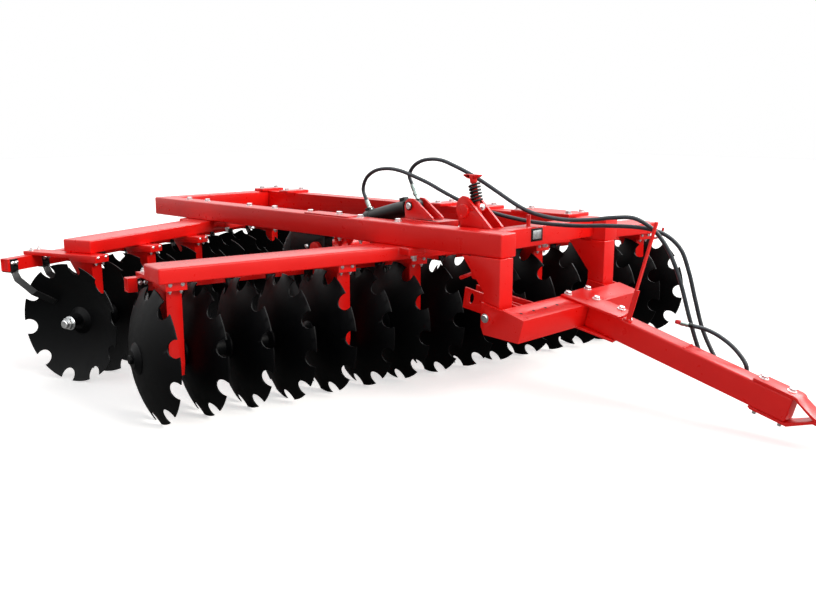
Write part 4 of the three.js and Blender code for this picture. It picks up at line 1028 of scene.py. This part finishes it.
# pin heads: a washer under a plain head; with a ring, the washer's face is black
def makePinHead(name, point, side, radius, body, ring=False):
    collar = radius * 1.35
    head = spinProfile(name, [[0, 0], [0, collar], [0.003, collar], [0.003, radius], [0.007, radius],
                              [0.009, radius - 0.002], [0.009, 0]], 36)
    if side < 0:
        head.data.transform(Matrix.Rotation(math.pi, 4, "Z"))
    head.data.transform(Matrix.Translation(spot(*point)))
    smooth(head, 25)
    finishPiece(head, body, "zinc", finishes=[zincPlate, blackEnamel])
    if ring:
        for face in head.data.polygons:
            reaches = [(head.data.vertices[i].co - spot(*point)).yz.length for i in face.vertices]
            isRing = max(reaches) > radius * 1.2 and min(reaches) >= radius * 0.99
            face.material_index = 1 if isRing else 0
    return head


# each drilled hole in the yoke's top gets a black disc inside it: painted shade for the dark depth of the hole
yokeHoles = {"across": (-492, -392, -293, -193), "y": -0.144, "z": 0.0712, "radius": 0.0088, "depth": 0.006}
holeShade = addPrimitive("cylinder", "hole_shade", vertices=24, radius=yokeHoles["radius"], depth=yokeHoles["depth"],
                         location=(0, yokeHoles["y"], yokeHoles["z"]))
roundArrises(holeShade, 0.0008, 1)
for x in yokeHoles["across"]:
    shade = copyTo(holeShade, drawbarLayout @ Matrix.Translation((x / 1000, 0, 0)), "yoke_hole_shade")
    finishPiece(shade, "drawbar", "black_paint", finishes=[discEnamel])
discard(holeShade)

for name, x, side in (("near", -572, -1), ("far", 523, 1)):
    makePinHead(f"{name}_pivot_pin_head", (x, -846, 479), side, 0.017, "drawbar")
for name, x, side in (("near", -366, -1), ("far", -254, 1)):
    makePinHead(f"{name}_cylinder_pin_head", (x, -134, 967), side, 0.018, "root", ring=True)

# the name plate, left blank, in its black frame on the front cross beam
namePlate = {"left": -178, "right": -79, "low": 814, "high": 881, "face": -820}
plateFrame = roundedBox("name_plate_frame", spot(namePlate["left"], namePlate["face"] - 3.2, namePlate["low"]),
                        spot(namePlate["right"], namePlate["face"] - 0.3, namePlate["high"]), 0.001)
finishPiece(plateFrame, "root", "black_paint")
plate = roundedBox("blank_name_plate",
                   spot(namePlate["left"] + 14, namePlate["face"] - 4.4, namePlate["low"] + 12),
                   spot(namePlate["right"] - 14, namePlate["face"] - 3.3, namePlate["high"] - 10), 0.0005)
finishPiece(plate, "root", "zinc")

# the boss on the near levelling ear, the weld across the drawbar's top and the wear plate on the near rail
earBoss = {"place": (-393, -543, 968), "radius": 0.0365, "depth": 0.011}
boss = addPrimitive("cylinder", "near_ear_boss", vertices=48, radius=earBoss["radius"], depth=earBoss["depth"],
                    location=spot(*earBoss["place"]), rotation=(0, math.pi / 2, 0))
roundArrises(boss, 0.003, 3)
smooth(boss)
finishPiece(boss, "root", "red_paint")
weld = {"low": (0.004, -0.765, 0.0735), "high": (0.096, -0.756, 0.0765)}
bead = roundedBox("drawbar_weld_bead", weld["low"], weld["high"], 0.0013)
bead.data.transform(drawbarLayout)
finishPiece(bead, "drawbar", "red_paint")
railPlate = roundedBox("near_rail_wear_plate",
                       spot(wearPlate["left"], wearPlate["front"], rails["top"] + wearPlate["bottom"]),
                       spot(wearPlate["right"], wearPlate["back"], rails["top"] + wearPlate["top"]))
finishPiece(railPlate, "root", "red_paint")
print("details added")

# floor and light: the floor's own glow is what makes it white to the camera, and the paint mirrors it dimmer, as if
# a dark edge lay round it
studio = {"floor": 60.0, "floorColour": "#f6f6f6", "floorDrop": 0.0005, "floorGlow": 0.56, "floorMirrored": 0.35,
          "worldStrength": 0.5, "horizon": 0.95, "overhead": 3.2, "horizonTo": 0.24, "overheadFrom": 0.5}
softbox = {"toward": (0.705, -0.283, 0.647), "strength": 12.0, "edge": 0.9, "core": 0.97}
sunLight = {"strength": 2.2, "width": 30, "colour": (1.0, 0.96, 0.88), "down": 60, "turn": 12}

bpy.ops.mesh.primitive_plane_add(size=studio["floor"], location=(0, 0, -studio["floorDrop"]))
floor = bpy.context.active_object
floor.name = "studio_floor"
floorPaper = newMaterial("matt_white_paper")
paper = addNode(floorPaper, "ShaderNodeBsdfPrincipled", inputs={
    "Base Color": linear(studio["floorColour"]), "Roughness": 0.95, "Specular IOR Level": 0.1})
paperRays = addNode(floorPaper, "ShaderNodeLightPath").outputs
paperGlow = addNode(floorPaper, "ShaderNodeMapRange", inputs={
    "Value": paperRays["Is Camera Ray"], "To Max": studio["floorGlow"]})
paperWhite = addNode(floorPaper, "ShaderNodeEmission", inputs={"Strength": paperGlow.outputs["Result"]})
paperLit = addNode(floorPaper, "ShaderNodeAddShader", inputs={0: paper.outputs[0], 1: paperWhite.outputs[0]})
paperMirrored = addNode(floorPaper, "ShaderNodeMapRange", inputs={
    "Value": paperRays["Is Glossy Ray"], "To Max": 1 - studio["floorMirrored"]})
paperDark = addNode(floorPaper, "ShaderNodeEmission", inputs={"Strength": 0.0})
paperMix = addNode(floorPaper, "ShaderNodeMixShader", inputs={
    "Fac": paperMirrored.outputs["Result"], 1: paperLit.outputs[0], 2: paperDark.outputs[0]})
addNode(floorPaper, "ShaderNodeOutputMaterial", inputs={"Surface": paperMix.outputs[0]})
paint(floor, floorPaper)

# a plain pale surround, brighter overhead and with a softbox up and to the right where paint and metal mirror it
world = bpy.data.worlds.new("studio")
bpy.context.scene.world = world
world.use_nodes = True
world.node_tree.nodes.clear()
rays = addNode(world, "ShaderNodeLightPath").outputs
skyward = addNode(world, "ShaderNodeTexCoord").outputs["Generated"]
height = addNode(world, "ShaderNodeSeparateXYZ", inputs={"Vector": skyward}).outputs["Z"]
mirrored = addNode(world, "ShaderNodeMapRange", inputs={
    "Value": height, "From Min": studio["horizonTo"], "From Max": studio["overheadFrom"],
    "To Min": studio["horizon"], "To Max": studio["overhead"]})
towardBox = addNode(world, "ShaderNodeVectorMath", {"operation": "DOT_PRODUCT"}, {0: skyward, 1: softbox["toward"]})
boxGlow = addNode(world, "ShaderNodeMapRange", inputs={
    "Value": towardBox.outputs["Value"], "From Min": softbox["edge"], "From Max": softbox["core"],
    "To Max": softbox["strength"]})
reflected = addNode(world, "ShaderNodeMath", {"operation": "ADD"}, {
    0: mirrored.outputs["Result"], 1: boxGlow.outputs["Result"]})
lit = addNode(world, "ShaderNodeMapRange", inputs={
    "Value": rays["Is Glossy Ray"], "To Min": studio["worldStrength"], "To Max": reflected.outputs["Value"]})
level = addNode(world, "ShaderNodeMapRange", inputs={
    "Value": rays["Is Camera Ray"], "To Min": lit.outputs["Result"], "To Max": 1.0})
sky = addNode(world, "ShaderNodeBackground", inputs={"Color": (1, 1, 1, 1), "Strength": level.outputs["Result"]})
addNode(world, "ShaderNodeOutputWorld", inputs={"Surface": sky.outputs[0]})

sunData = bpy.data.lights.new("front_light", "SUN")
sunData.energy = sunLight["strength"]
sunData.angle = math.radians(sunLight["width"])
sunData.color = sunLight["colour"]
sun = bpy.data.objects.new("front_light", sunData)
sun.rotation_euler = (math.radians(sunLight["down"]), 0.0, math.radians(sunLight["turn"]))
bpy.context.scene.collection.objects.link(sun)
bpy.context.scene.view_settings.view_transform = "Standard"
print("stage and lights set")
